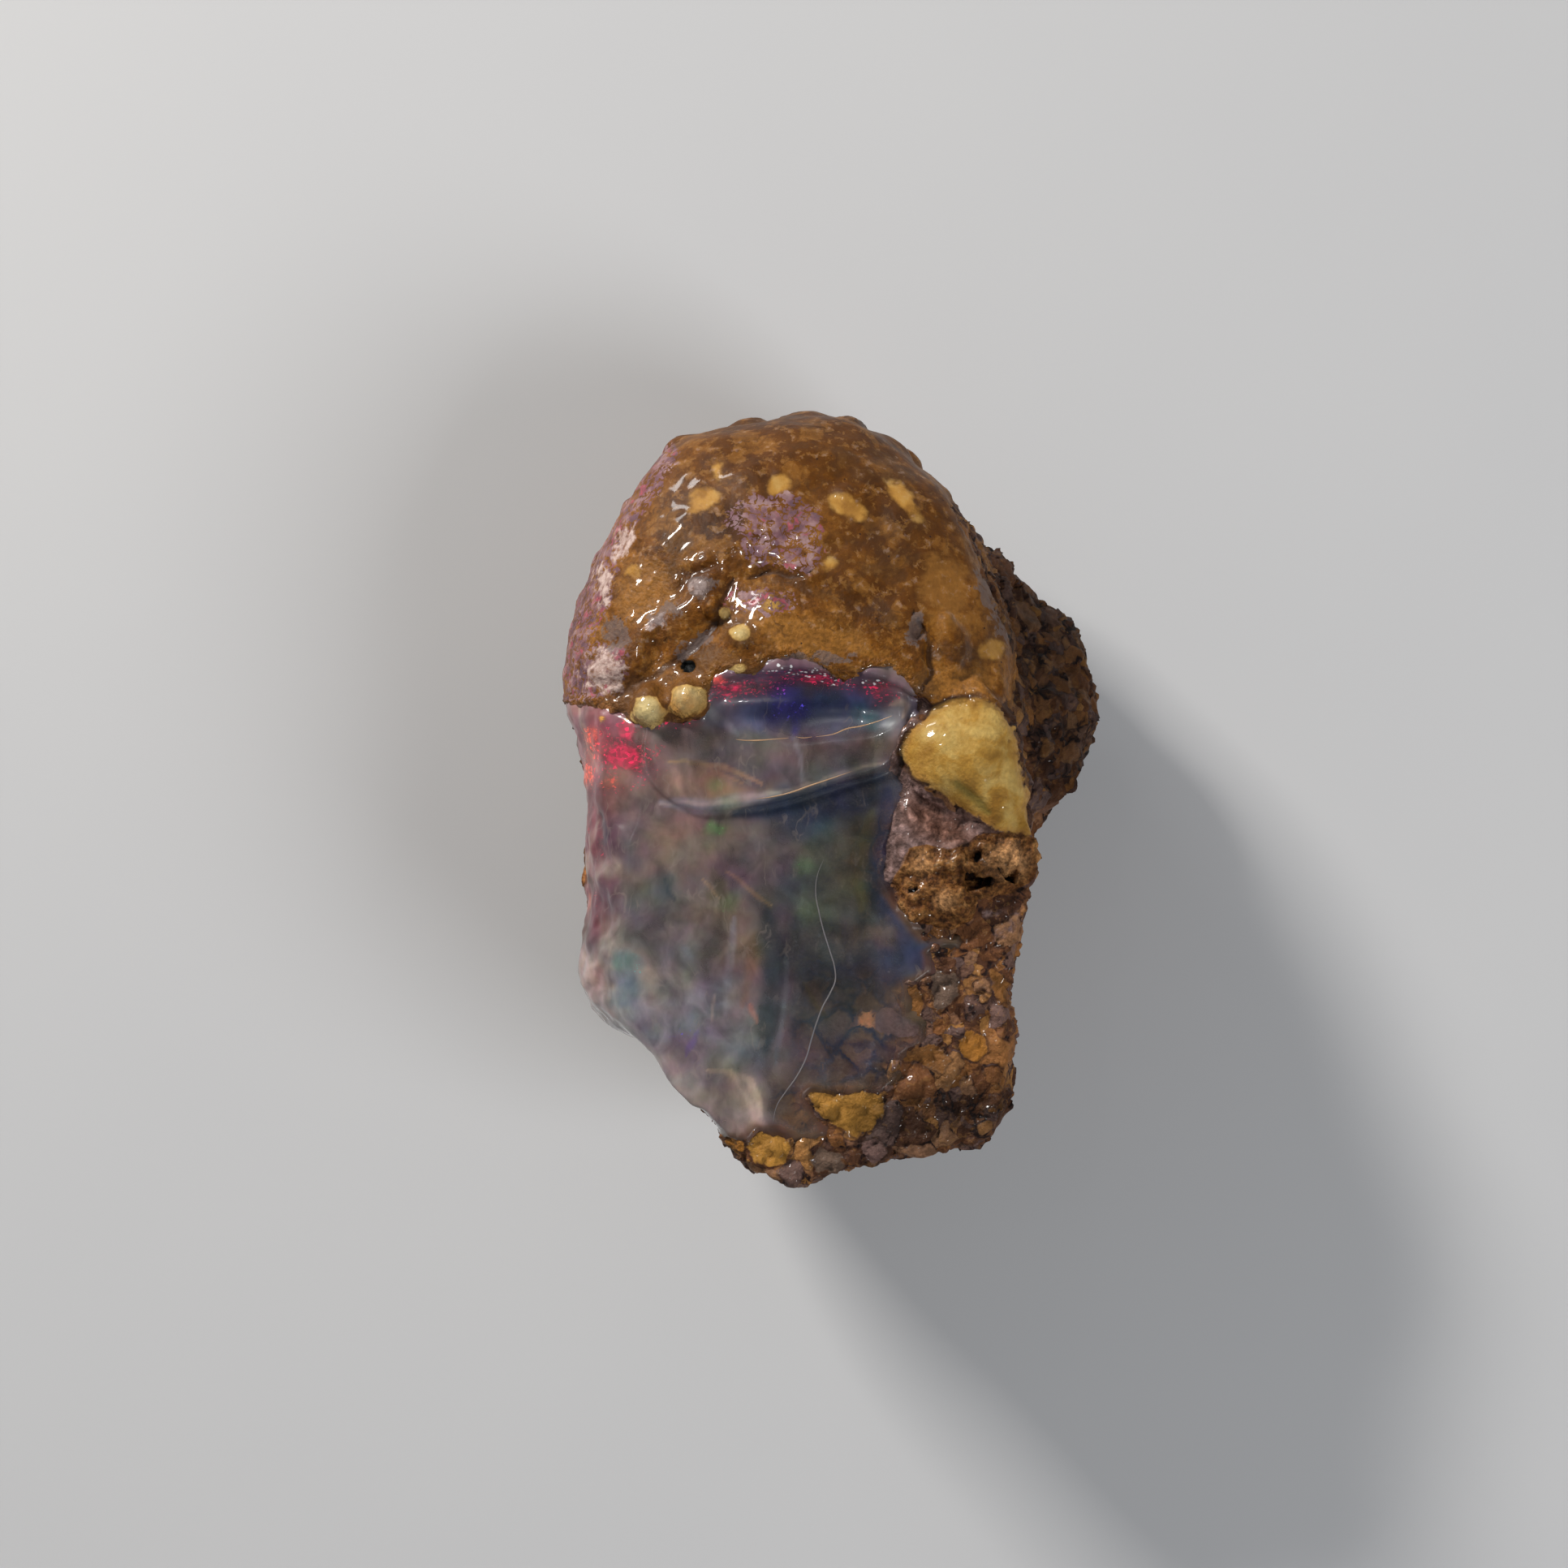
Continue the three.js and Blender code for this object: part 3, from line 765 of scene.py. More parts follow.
# %% Named fragments of the breccia
CLAST_YELLOW = (0.31, 0.150, 0.028)
CLAST_ORANGE = (0.28, 0.115, 0.020)
CLAST_BROWN = (0.17, 0.072, 0.020)
CLAST_PINK = (0.16, 0.092, 0.078)
CLAST_GREY = (0.105, 0.066, 0.046)
CLAST_LIT = (0.75, 0.32, 0.12)
NAMED_FRAGMENTS = [
    (CLAST_YELLOW, [(-2.3, -25.0), (-1.0, -24.7), (0.9, -25.1), (2.4, -25.0), (4.2, -25.2), (4.3, -26.3),
                    (4.1, -27.7), (3.0, -28.8), (2.1, -29.1), (0.6, -28.1), (-0.9, -27.7), (-1.9, -26.5)]),
    (CLAST_YELLOW, [(-7.0, -28.8), (-5.7, -28.3), (-4.1, -28.8), (-3.5, -29.8), (-3.9, -31.2),
                    (-5.3, -31.5), (-6.7, -30.9), (-7.4, -29.8)]),
    (CLAST_ORANGE, [(10.3, -20.4), (11.7, -20.0), (12.9, -20.4), (13.2, -21.8), (12.2, -22.6),
                    (10.8, -22.3)]),
    (CLAST_ORANGE, [(-9.9, -29.0), (-8.4, -28.8), (-7.7, -29.2), (-7.9, -30.2), (-8.9, -29.9)]),
    (CLAST_BROWN, [(5.9, -21.7), (7.8, -21.1), (9.2, -21.4), (10.0, -22.5), (9.0, -23.3), (7.1, -22.9),
                   (5.9, -22.6)]),
    (CLAST_BROWN, [(13.2, -14.3), (14.3, -15.2), (15.2, -16.2), (15.4, -17.6), (14.3, -17.6),
                   (13.7, -16.2)]),
    (CLAST_BROWN, [(6.1, -16.1), (7.2, -16.0), (7.8, -17.2), (7.2, -19.2), (6.3, -19.0)]),
    (CLAST_BROWN, [(13.0, -26.9), (13.7, -26.1), (15.0, -25.2), (15.4, -25.9), (14.3, -27.0)]),
    (CLAST_PINK, [(2.1, -29.5), (3.5, -29.1), (4.5, -29.9), (4.1, -31.2), (2.7, -31.4)]),
    (CLAST_PINK, [(1.2, -19.9), (3.3, -19.9), (7.0, -20.6), (7.4, -19.6), (5.9, -18.6), (4.0, -17.9),
                  (2.0, -18.1)]),
    (CLAST_GREY, [(8.3, -14.8), (10.9, -15.2), (10.6, -16.9), (9.2, -18.3), (8.5, -17.9)]),
    (CLAST_GREY, [(-1.9, -30.7), (-1.0, -29.8), (0.6, -30.3), (1.0, -31.6), (0.2, -32.3), (-1.5, -32.3)]),
    (CLAST_GREY, [(0.9, -20.8), (3.7, -21.0), (4.5, -21.5), (2.3, -21.8)]),
    (CLAST_LIT, [(2.1, -18.5), (2.8, -18.1), (3.5, -18.8), (3.8, -19.7), (2.8, -20.0), (2.1, -19.4)]),
    (CLAST_PINK, [(4.8, -23.6), (5.0, -22.2), (5.6, -22.1), (5.4, -23.7)]),
    (CLAST_BROWN, [(-4.2, -20.3), (-2.9, -20.6), (-2.4, -21.8), (-3.9, -22.1)]),
]
print("named fragments:", len(NAMED_FRAGMENTS))

# %% [markdown]
# ## From outlines to numbers
#
# On the real stone, crust, clay and knob end along ragged borders, and they only reach down so far. One
# could paint these borders by hand as vertex colours. Here each outline becomes a number at every point of
# the skin instead, eased over a fraction of a millimetre and cut off at a lowest height that rises and
# falls with noise. The numbers stay true when the skin is made finer, and the relief can read them too.

# %% Numbers for the crust
# Heights over the table, in millimetres. A foot is a pair: gone below the first, whole above the second.
LOWEST_CRUST = 11.0
LOWEST_CLAY = 22.0
LOWEST_CREAM = 16
LOWEST_SPOT = 14
KNOB_FOOT = (20, 24)
MAUVE_FOOT = (21, 25)
LILAC_FOOT = (13, 20)
FAR_OUTSIDE = -9


def ellipse_depth(place, centre, radii, turn=0):
    """About how far inside an ellipse each place lies, in millimetres."""
    return (1 - way_out(place, centre, radii, turn)) * min(radii)


points, place, edges, normals, inward, depth_in = describe(rock)
frayed = wandering(points, 8.0, 11.0, 3)[:, 2] + wandering(points, 2.0, 3.0, 4)[:, 2]
upper = eased(LOWEST_CRUST - 2, LOWEST_CRUST + 2, points[:, 2] + frayed)
loose = place + wandering(points, 1.6, 0.35, 2)[:, :2]
keep(rock, "crust", eased(-0.5, 0.5, inside(loose, CRUST)) * upper)
clay_place = place + wandering(points, 2.4, 0.25, 2)[:, :2]
above_clay = (points[:, 2] - LOWEST_CLAY + frayed * 0.3) * 0.5
keep(rock, "clay", np.minimum(inside(clay_place, YELLOW_CLAY), above_clay))
high = points[:, 2] + frayed * 0.5
keep(rock, "porous", eased(-0.3, 0.5, inside(loose, POROUS_KNOB)) * eased(*KNOB_FOOT, high))
faint_mauve = 0.5 * eased(-0.4, 1.0, inside(loose, MAUVE_ROCK))
mauve = np.maximum(eased(-0.3, 0.4, inside(loose, MAUVE_RIM)), faint_mauve)
keep(rock, "mauve", mauve * eased(*MAUVE_FOOT, high))
lilac = np.max([inside(loose, outline) for outline in LILAC_PATCHES], axis=0)
lilac_height = eased(*LILAC_FOOT, points[:, 2] + frayed)
keep(rock, "lilac", eased(-0.8, 0.8, lilac) * upper * lilac_height)
for name, several in [("grey", GREY_PATCHES), ("dark", DARK_AND_SHADED_ZONES), ("amber", AMBER_AND_SHADED_ZONES),
                      ("hollow", HOLLOWS), ("drape", BROWN_DRAPES)]:
    keep(rock, name, touches(loose, several) * upper)
cream = np.max([ellipse_depth(place, *one) for one in CREAM_NODULES], axis=0)
keep(rock, "cream", np.where(points[:, 2] > LOWEST_CREAM, cream, FAR_OUTSIDE))
spots = np.max([ellipse_depth(loose, *one) for one in YELLOW_SPOTS], axis=0)
keep(rock, "spots", np.where(points[:, 2] > LOWEST_SPOT, spots, FAR_OUTSIDE))
keep(rock, "pale", touches(loose, PALE_PATCHES) * upper * lilac_height)
print("crust numbers kept:", len(rock.data.attributes), "layers")

# %% Numbers for the creases, the knob and the clay
DULL_TOP = ((0.5, 31.0), (12.5, 6.0))
TAN_FLANK = ((-12.9, 7.8), (1.7, 1.2))
LOWEST_HOLE = 18
keep(rock, "dark_rock", touches(place, SHADED_ROCK_ZONES))
for name, lines in [("crease", CREASES), ("swell", SWELL_LINES)]:
    keep(rock, name, np.max([stroke(loose, *one) for one in lines], axis=0) * upper)
keep(rock, "hole", touches(loose, KNOB_HOLES) * (points[:, 2] > LOWEST_HOLE))
keep(rock, "slit", stroke(loose, 0.42, CLAY_SLIT))
for name, several in [("clay_line", CLAY_LINE), ("pale_knob", KNOB_PALE), ("dark_knob", KNOB_DARK),
                      ("golden", GOLDEN_ZONES)]:
    keep(rock, name, touches(loose, several))
steep = eased(0.84, 0.62, calmed(normals[:, 2], edges, 6).ravel())
keep(rock, "steep", np.maximum(steep, touch(place, *DULL_TOP)))
keep(rock, "tan", touch(loose, *TAN_FLANK))
print("numbers of creases, knob and clay kept")

# %% Numbers for the named fragments
LOWEST_FRAGMENT = 27.6
chipped = loose + wandering(points, 0.9, 0.15, 6)[:, :2]
depths = np.array([inside(chipped, outline) for _, outline in NAMED_FRAGMENTS])
order = np.arange(len(depths))[:, None]
uppermost = np.where(depths > 0, 100 + order, depths).argmax(axis=0)
tints = np.array([tint for tint, _ in NAMED_FRAGMENTS])[uppermost]
chosen = depths[uppermost, np.arange(len(place))]
keep(rock, "named", np.minimum(chosen, points[:, 2] - LOWEST_FRAGMENT))
keep(rock, "named_tint", np.column_stack([tints, np.ones(len(tints))]))
print("fragments reach", round(float(chosen.max()), 1), "mm inside their outlines")

# %% Numbers for the pitted foot of the dome, the border and the ground face
BLACK_PIT = ((-12.5, 11.1), (0.62, 0.5), 0, 0.3)
PITTED_BELOW = 14.0
SMOOTH_ABOVE = 19.5
PITTED_LEAN = 0.35
BORDER_SHIFT = 0.3
keep(rock, "pit", touch(place, *BLACK_PIT))
keep(rock, "pitted", eased(SMOOTH_ABOVE, PITTED_BELOW, place[:, 1] + PITTED_LEAN * place[:, 0]))
keep(rock, "edge", 1 - eased(0.1, 0.7, np.abs(depth_in + BORDER_SHIFT)))
flat = eased(0.35, 0.1, np.abs(points[:, 2] - WINDOW_HEIGHT)) * eased(0.9, 0.97, normals[:, 2])
keep(rock, "flat", calmed(flat, edges, 3).ravel())
print("rock regions kept:", len(rock.data.attributes), "layers")

# %% [markdown]
# ## Sinking the bed
#
# Now the rock makes room for the opal. A boolean cut with the opal's body would do it too, but it leaves a
# sharp seam and uneven faces. Here every point of the rock's skin simply moves inwards by the depth of the
# bed, so the skin stays one closed even surface, and a few rounds of averaging calm what has been moved.

# %% Sink the bed
BED_ROUNDS = 12
sink = bed_depth(place, depth_in)
keep(rock, "sunk", sink)
bed = points + inward * sink[:, None]
settled = calmed(bed, edges, BED_ROUNDS)
bed += (settled - bed) * eased(0.2, 1.5, sink)[:, None]
put_places(rock, bed)
print("bed sunk by", round(float(sink.max()), 1), "mm at most")

# %% [markdown]
# ## Relief of the rock
#
# Broken rock casts small shadows that a bump in the material can't give, least of all at the outline. One
# could sculpt them or displace the skin by a texture. Here the relief is made with the same node patterns
# that colour the rock later, in a Geometry Nodes modifier that is applied at once, so a groove lies
# exactly where the dark joint between two fragments is drawn. The crust gets slow waves and small lumps,
# the broken faces raised fragments, and the knob deep pores.

# %% Fragments of the breccia


def leaning(place, size):
    """A plane of its own for each cell, leaning its own way: its height in millimetres."""
    centre = cells(place, size, "F1", "Position")
    lean = cells(place, size) - (0.5, 0.5, 0.5)
    sides = {0: place - centre, 1: lean}
    return Wire.make("ShaderNodeVectorMath", {"operation": "DOT_PRODUCT"}, sides, "Value") * (1 / MM)


LARGE_FRAGMENT = 2.5
SMALL_FRAGMENT = 1.2
BED_BLOCK = 2.7


def fragments(place):
    """Rock fragments of two sizes: a tone for each, the distance to the joint and the leaning face."""
    wavy = bent(bent(place, 2.4, 0.9), 0.8, 0.20, 3)
    choice, large_tone, _ = parts(cells(wavy, LARGE_FRAGMENT))
    small_tone, _, _ = parts(cells(wavy, SMALL_FRAGMENT))
    large_joint = cells(wavy, LARGE_FRAGMENT, "DISTANCE_TO_EDGE", "Distance") * LARGE_FRAGMENT
    small_joint = cells(wavy, SMALL_FRAGMENT, "DISTANCE_TO_EDGE", "Distance") * SMALL_FRAGMENT
    whole = choice.above(0.66, 0.68)
    tone = between(whole, small_tone, large_tone)
    joint = between(whole, small_joint.least(large_joint), large_joint)
    return tone, joint, between(whole, leaning(wavy, SMALL_FRAGMENT), leaning(wavy, LARGE_FRAGMENT))


def blocks(place):
    """The blocks of the bed, seen through the opal: a tone for each and the distance to the joint."""
    wavy = bent(bent(place, 2.8, 1.2), 1.0, 0.4, 4)
    tone, _, _ = parts(cells(wavy, BED_BLOCK))
    return tone, cells(wavy, BED_BLOCK, "DISTANCE_TO_EDGE", "Distance") * BED_BLOCK


def beads_on(place):
    """The small round beads of the mauve rim."""
    return dots(bent(place, 0.9, 0.2), 0.9, 0.1, 0.6)


def open_joints(place):
    """Where the joints between the fragments gape, and where they are closed."""
    return mottled(place, 1.7, 3).above(0.30, 0.80)


print("fragments of", LARGE_FRAGMENT, "and", SMALL_FRAGMENT, "mm")

# %% Raising a relief


def raise_relief(piece, height_of, name):
    """Moves the points of a piece along their normals by a height in millimetres."""
    group = bpy.data.node_groups.new(name, "GeometryNodeTree")
    group.interface.new_socket("Geometry", in_out="INPUT", socket_type="NodeSocketGeometry")
    group.interface.new_socket("Geometry", in_out="OUTPUT", socket_type="NodeSocketGeometry")
    Wire.tree = group
    start = Wire.make("NodeGroupInput")
    offset = Wire.make("GeometryNodeInputNormal") * (height_of(own_place()) * MM)
    moved = Wire.make("GeometryNodeSetPosition", {}, {"Geometry": start, "Offset": offset})
    Wire.make("NodeGroupOutput", {}, {0: moved})
    only(piece)
    modifier = piece.modifiers.new(name, "NODES")
    modifier.node_group = group
    bpy.ops.object.modifier_apply(modifier=name)
    bpy.data.node_groups.remove(group)
    print(name, "raised on", piece.name)


print("a relief can be raised")

# %% Relief of the host rock
SWELL_HEIGHT = 0.55
CREASE_DEPTH = 0.35
HOLLOW_DEPTH = 0.35
PORE_DEPTH = 0.7
HOLE_DEPTH = 1.1
SLIT_DEPTH = 0.25
PIT_DEPTH = 0.8


def rock_relief(place):
    """Height of the rock's relief in millimetres."""
    tone, joint, face = fragments(place)
    rough = cloud(place, 0.8, 4, 0.65) - 0.5
    chips = mottled(place, 1.0, 3) - 0.5
    broken = joint.above(0.0, 0.35) * 0.25 + (tone - 0.5) * 0.45 + face * 0.42
    broken = broken + chips * 0.2 + rough * 0.3 - 0.2
    waves = (cloud(place, 5.0, 1) - 0.5) * 0.65 + field("swell") * SWELL_HEIGHT
    waves = waves - field("crease") * CREASE_DEPTH - field("hollow") * HOLLOW_DEPTH
    lumps = (cloud(place, 1.6, 3, 0.6) - 0.5) * 0.35
    low_dome = field("pitted")
    crusty = waves + lumps * (0.18 + low_dome * 0.7) + rough * low_dome * 0.18
    pores = dots(bent(place, 0.9, 0.4), 1.7, 0.12, 0.40) * mottled(place, 2.2).above(0.6, 0.9)
    porous = (mottled(place, 1.6, 4, 0.6) - 0.5) * 0.9 - pores * PORE_DEPTH
    porous = porous - (field("hole") + chips * 0.4).above(0.35, 0.9) * HOLE_DEPTH
    swells = (cloud(place, 2.6, 2) - 0.5) * 0.4 - field("slit") * SLIT_DEPTH
    height = between(field("crust"), broken, crusty)
    height = between(field("porous"), height, porous)
    beaded = lumps * 0.8 + rough * 0.3 + beads_on(place) * 0.25
    height = between(field("mauve"), height, beaded)
    height = between(field("clay").above(-0.1, 0.5), height, swells)
    cream = field("cream").above(-0.1, 0.15)
    height = between(cream, height, (mottled(place, 2.2, 2) - 0.5) * 0.34 - 0.06)
    ragged = (cloud(place, 0.6, 4, 0.7) - 0.45) * 1.1 * field("crust")
    height = height + field("edge") * ragged * (1 - cream) - field("pit") * PIT_DEPTH
    ground = joint.above(0.0, 0.3) * open_joints(place) * 0.5 + (tone - 0.7) * 0.25 + face * 0.36
    ground = ground + chips * 0.2 + rough * 0.25 - 0.3
    height = between(field("flat"), height, ground)
    sunk = field("sunk")
    block_tone, block_joint = blocks(place)
    stepped = (block_tone - 0.6 + block_joint.above(0.0, 0.6) * 0.3) * sunk.least(1.2) * 0.9
    return between(sunk.above(0.05, 0.5), height, stepped + (cloud(place, 2.6, 3) - 0.5) * sunk * 0.35)


raise_relief(rock, rock_relief, "rock_relief")

# %% [markdown]
# ## The resting face
#
# The stone lies on one flat break. Relief on it would lift the stone or sink it into the table. A cut with
# a plane would be exact, but it leaves long thin faces along its edge. Here every point that the relief has
# pushed below the table is set back to the table's height, and the mesh stays as even as it was.

# %% Keep the resting face flat
points = places_of(rock)
points[:, 2] = np.maximum(points[:, 2], 0)
put_places(rock, points)
only(rock)
bpy.ops.object.shade_smooth()
print("lowest point", points[:, 2].min(), "mm, faces", len(rock.data.polygons))

# %% [markdown]
# ## The opal as a body of its own
#
# On the real stone the opal is a clear mass in the rock. It could be a shiny colour on the rock, but then
# nothing would lie behind its surface, and a lump modelled apart and pressed in would show a gap round its
# border. So the opal is cut from a fine skin of the same stone, along its outline and a little beyond. Both
# then share one surface, and the opal's rim is buried in the rock.

# %% Cut the skin to the opal
BURIED_RIM = 0.9
*_, inward, depth_in = describe(opal)
only(opal)
bpy.ops.object.mode_set(mode="EDIT")
bpy.ops.mesh.select_all(action="DESELECT")
bpy.ops.object.mode_set(mode="OBJECT")
keep(opal, "depth_in", depth_in)
keep(opal, "inward", np.column_stack([inward, np.zeros(len(inward))]))
opal.data.vertices.foreach_set("select", depth_in < -BURIED_RIM)
bpy.ops.object.mode_set(mode="EDIT")
bpy.ops.mesh.delete(type="VERT")
bpy.ops.object.mode_set(mode="OBJECT")
print("opal skin:", len(opal.data.polygons), "faces")

# %% [markdown]
# ## Painting the haze
#
# The opal isn't evenly clear. Smoky haze, olive and blue zones, whitish clouds and a pink skin lie in it,
# and play-of-colour flashes where its silica spheres are well ordered. The touches below are laid one
# over another like thin glazes. Their places are bent by noise first, so a touch becomes a drifting
# cloud. Each touch is a colour, its strength, its centre, its radii and its turn.

# %% Tones of the opal
SMOKE = (0.135, 0.105, 0.096)
OLIVE = (0.080, 0.072, 0.016)
GOLDEN = (0.30, 0.185, 0.105)
PALE_GREEN = (0.12, 0.22, 0.085)
TEAL = (0.030, 0.14, 0.15)
NIGHT = (0.008, 0.010, 0.026)
DEEP_BLUE = (0.014, 0.022, 0.070)
SLATE = (0.048, 0.058, 0.075)
VIOLET = (0.045, 0.032, 0.21)
PLUM = (0.085, 0.048, 0.072)
WARM_BROWN = (0.195, 0.115, 0.080)
MILK = (0.215, 0.205, 0.222)
PINK_SKIN = (0.115, 0.024, 0.037)
SKY = (0.075, 0.125, 0.175)
# Painted shadow: dark blue laid under the edge of the raised shell.
PAINTED_LIP_SHADOW = (0.018, 0.029, 0.060)
BLUE_GREY = (0.036, 0.048, 0.080)
SCOOP_BLUE = (0.043, 0.060, 0.145)
MOSS = (0.088, 0.088, 0.060)
INK = (0.036, 0.045, 0.055)
BLUE_WHITE = (0.13, 0.145, 0.17)
VIOLET_MIST = (0.13, 0.10, 0.24)
BROWN_EDGE = (0.085, 0.040, 0.018)
CREAM_WHITE = (0.40, 0.31, 0.255)
LILAC = (0.22, 0.125, 0.14)
ROSE = (0.29, 0.09, 0.11)
SALMON = (0.48, 0.17, 0.12)
BROWN_BIT = (0.06, 0.026, 0.014)
print("tones ready, smoke is", SMOKE)

# %% Glazes of the opal
HAZE_GLAZES = [
    (MILK, 0.60, (-14.0, -20.0), (7.0, 8.5), -30),
    (SLATE, 0.55, (-17.0, -4.2), (1.3, 1.8)),
    (PLUM, 0.60, (-18.2, -8.0), (1.1, 2.8)),
    (SLATE, 0.35, (-16.2, -9.5), (1.5, 2.5)),
    (WARM_BROWN, 0.45, (-12.9, -3.4), (4.2, 2.2)),
    (PLUM, 0.35, (-10.1, -6.6), (2.6, 1.7)),
    (SLATE, 0.50, (-14.1, -7.6), (0.9, 1.6)),
    (SLATE, 0.80, (-2.2, -11.0), (4.4, 9.0)),
    (MOSS, 0.80, (1.5, -7.5), (4.4, 7.5)),
    (SLATE, 0.45, (2.5, -11.5), (3.6, 3.4)),
    (PLUM, 0.45, (-4.8, -14.5), (1.3, 5.4)),
    (WARM_BROWN, 0.65, (-7.6, -14.6), (1.6, 4.2), 4),
    (MILK, 0.35, (-8.8, -19.5), (1.4, 5.0), -6),
    # Painted shadow under the lip of the raised shell.
    (PAINTED_LIP_SHADOW, 0.85, (-0.2, -0.4), (6.4, 2.2), 15),
    (PLUM, 0.40, (-7.7, -2.1), (1.3, 0.9)),
    (SMOKE, 0.60, (-10.8, -13.8), (3.2, 3.0)),
    (SLATE, 0.15, (-10.5, -14.5), (2.2, 2.4)),
    (SLATE, 0.30, (-10.0, -19.5), (2.6, 3.0)),
    (SLATE, 0.35, (-13.0, 3.2), (3.0, 1.2)),
    (DEEP_BLUE, 0.55, (4.6, -5.5), (1.9, 4.8)),
    (OLIVE, 0.35, (2.6, -6.4), (1.1, 3.6)),
    (TEAL, 0.18, (-1.0, -3.2), (1.8, 1.2)),
    (BLUE_GREY, 0.90, (6.8, -13.4), (3.0, 2.4)),
    (BLUE_GREY, 0.60, (3.6, -13.6), (3.0, 1.2)),
    (WARM_BROWN, 0.30, (3.4, -12.2), (3.4, 1.0)),
    (NIGHT, 0.45, (1.5, -15.5), (4.2, 1.6)),
    (OLIVE, 0.35, (1.0, -17.0), (2.4, 1.2), -20),
    (OLIVE, 0.50, (-10.0, -8.0), (0.6, 1.4), 30),
    (PALE_GREEN, 0.60, (-10.1, -2.9), (0.7, 0.5)),
    (PALE_GREEN, 0.25, (-2.9, -6.3), (0.9, 1.0)),
    (PALE_GREEN, 0.20, (-2.7, -9.5), (0.9, 1.2)),
    (PALE_GREEN, 0.30, (-8.9, -9.3), (1.0, 0.9)),
    (OLIVE, 0.30, (-9.4, -11.5), (1.6, 2.0)),
    (TEAL, 0.18, (-14.5, -9.0), (1.4, 2.2)),
    (PALE_GREEN, 0.25, (-13.6, -19.0), (1.2, 1.0)),
    (CREAM_WHITE, 0.50, (-18.3, -16.4), (2.8, 3.2)),
    (TEAL, 0.50, (-17.2, -14.2), (0.9, 0.9)),
    (TEAL, 0.35, (-17.6, -15.6), (1.1, 1.0)),
    (SKY, 0.75, (-17.8, -16.9), (1.6, 1.3)),
    (BLUE_WHITE, 0.40, (-14.5, -19.5), (3.0, 2.0), -30),
    (BLUE_WHITE, 0.40, (-6.8, -20.8), (1.8, 3.6)),
    (BLUE_GREY, 0.48, (1.8, -20.6), (4.2, 2.6)),
    (BLUE_WHITE, 0.35, (2.6, -20.6), (4.0, 2.4)),
    (CREAM_WHITE, 0.40, (-11.5, -25.6), (4.2, 1.7), -38),
    (CREAM_WHITE, 0.45, (-7.6, -26.0), (1.6, 3.0), 8),
    (CREAM_WHITE, 0.60, (-9.4, -28.0), (2.6, 0.9), -12),
    (SMOKE, 0.80, (-5.0, 3.2), (11.0, 2.7), 8),
    (GOLDEN, 0.75, (-11.3, 0.9), (3.6, 1.3), -6),
    (PALE_GREEN, 0.40, (-9.8, 0.7), (0.6, 0.5)),
    (SLATE, 0.45, (-6.3, 1.7), (2.5, 0.8), 10),
    (SLATE, 0.40, (-8.6, 2.9), (2.2, 1.2)),
    (SLATE, 0.35, (0.4, 3.2), (4.6, 2.0), 15),
    (WARM_BROWN, 0.30, (0.9, 4.2), (3.0, 0.9), 15),
    (SCOOP_BLUE, 0.95, (-1.9, 7.7), (7.6, 2.3)),
    (VIOLET, 0.70, (-4.1, 8.6), (1.5, 0.9)),
    (VIOLET, 0.75, (-3.8, 7.3), (1.6, 0.9)),
    (VIOLET, 0.60, (-3.4, 5.7), (0.5, 0.8)),
    (TEAL, 0.50, (2.7, 6.9), (1.0, 1.0)),
    (PLUM, 0.60, (-6.5, 9.8), (4.4, 1.1)),
    (PLUM, 0.60, (0.5, 9.7), (6.0, 0.9), -6),
    (LILAC, 0.45, (-9.0, 9.8), (1.8, 1.0)),
    (LILAC, 0.50, (-2.5, 11.0), (8.0, 0.7), -4),
    (LILAC, 0.45, (4.8, 9.2), (1.8, 1.5)),
    (MILK, 0.45, (5.6, 6.8), (1.0, 1.8)),
    (LILAC, 0.30, (-14.0, 3.0), (2.8, 3.6)),
    (LILAC, 0.40, (-21.2, -8.0), (2.3, 13.0)),
    (PINK_SKIN, 0.85, (-20.4, -6.6), (1.6, 5.6)),
    (ROSE, 0.65, (-20.3, 4.0), (3.2, 4.8)),
    (PLUM, 0.55, (-19.5, -5.2), (1.0, 3.4)),
    (ROSE, 0.45, (-20.7, -4.6), (1.0, 3.6)),
    (CREAM_WHITE, 0.35, (-19.2, 1.8), (1.4, 1.0)),
    (CREAM_WHITE, 0.45, (-19.0, -6.3), (0.8, 1.0)),
    (CREAM_WHITE, 0.50, (-20.9, -15.4), (1.2, 2.0)),
    (BROWN_BIT, 0.95, (-20.8, -6.8), (0.4, 0.8), 15),
    (BROWN_BIT, 0.95, (-21.2, -11.8), (0.45, 0.9)),
    (SALMON, 0.90, (-21.3, -9.3), (0.4, 0.7)),
]
print(len(HAZE_GLAZES), "glazes")

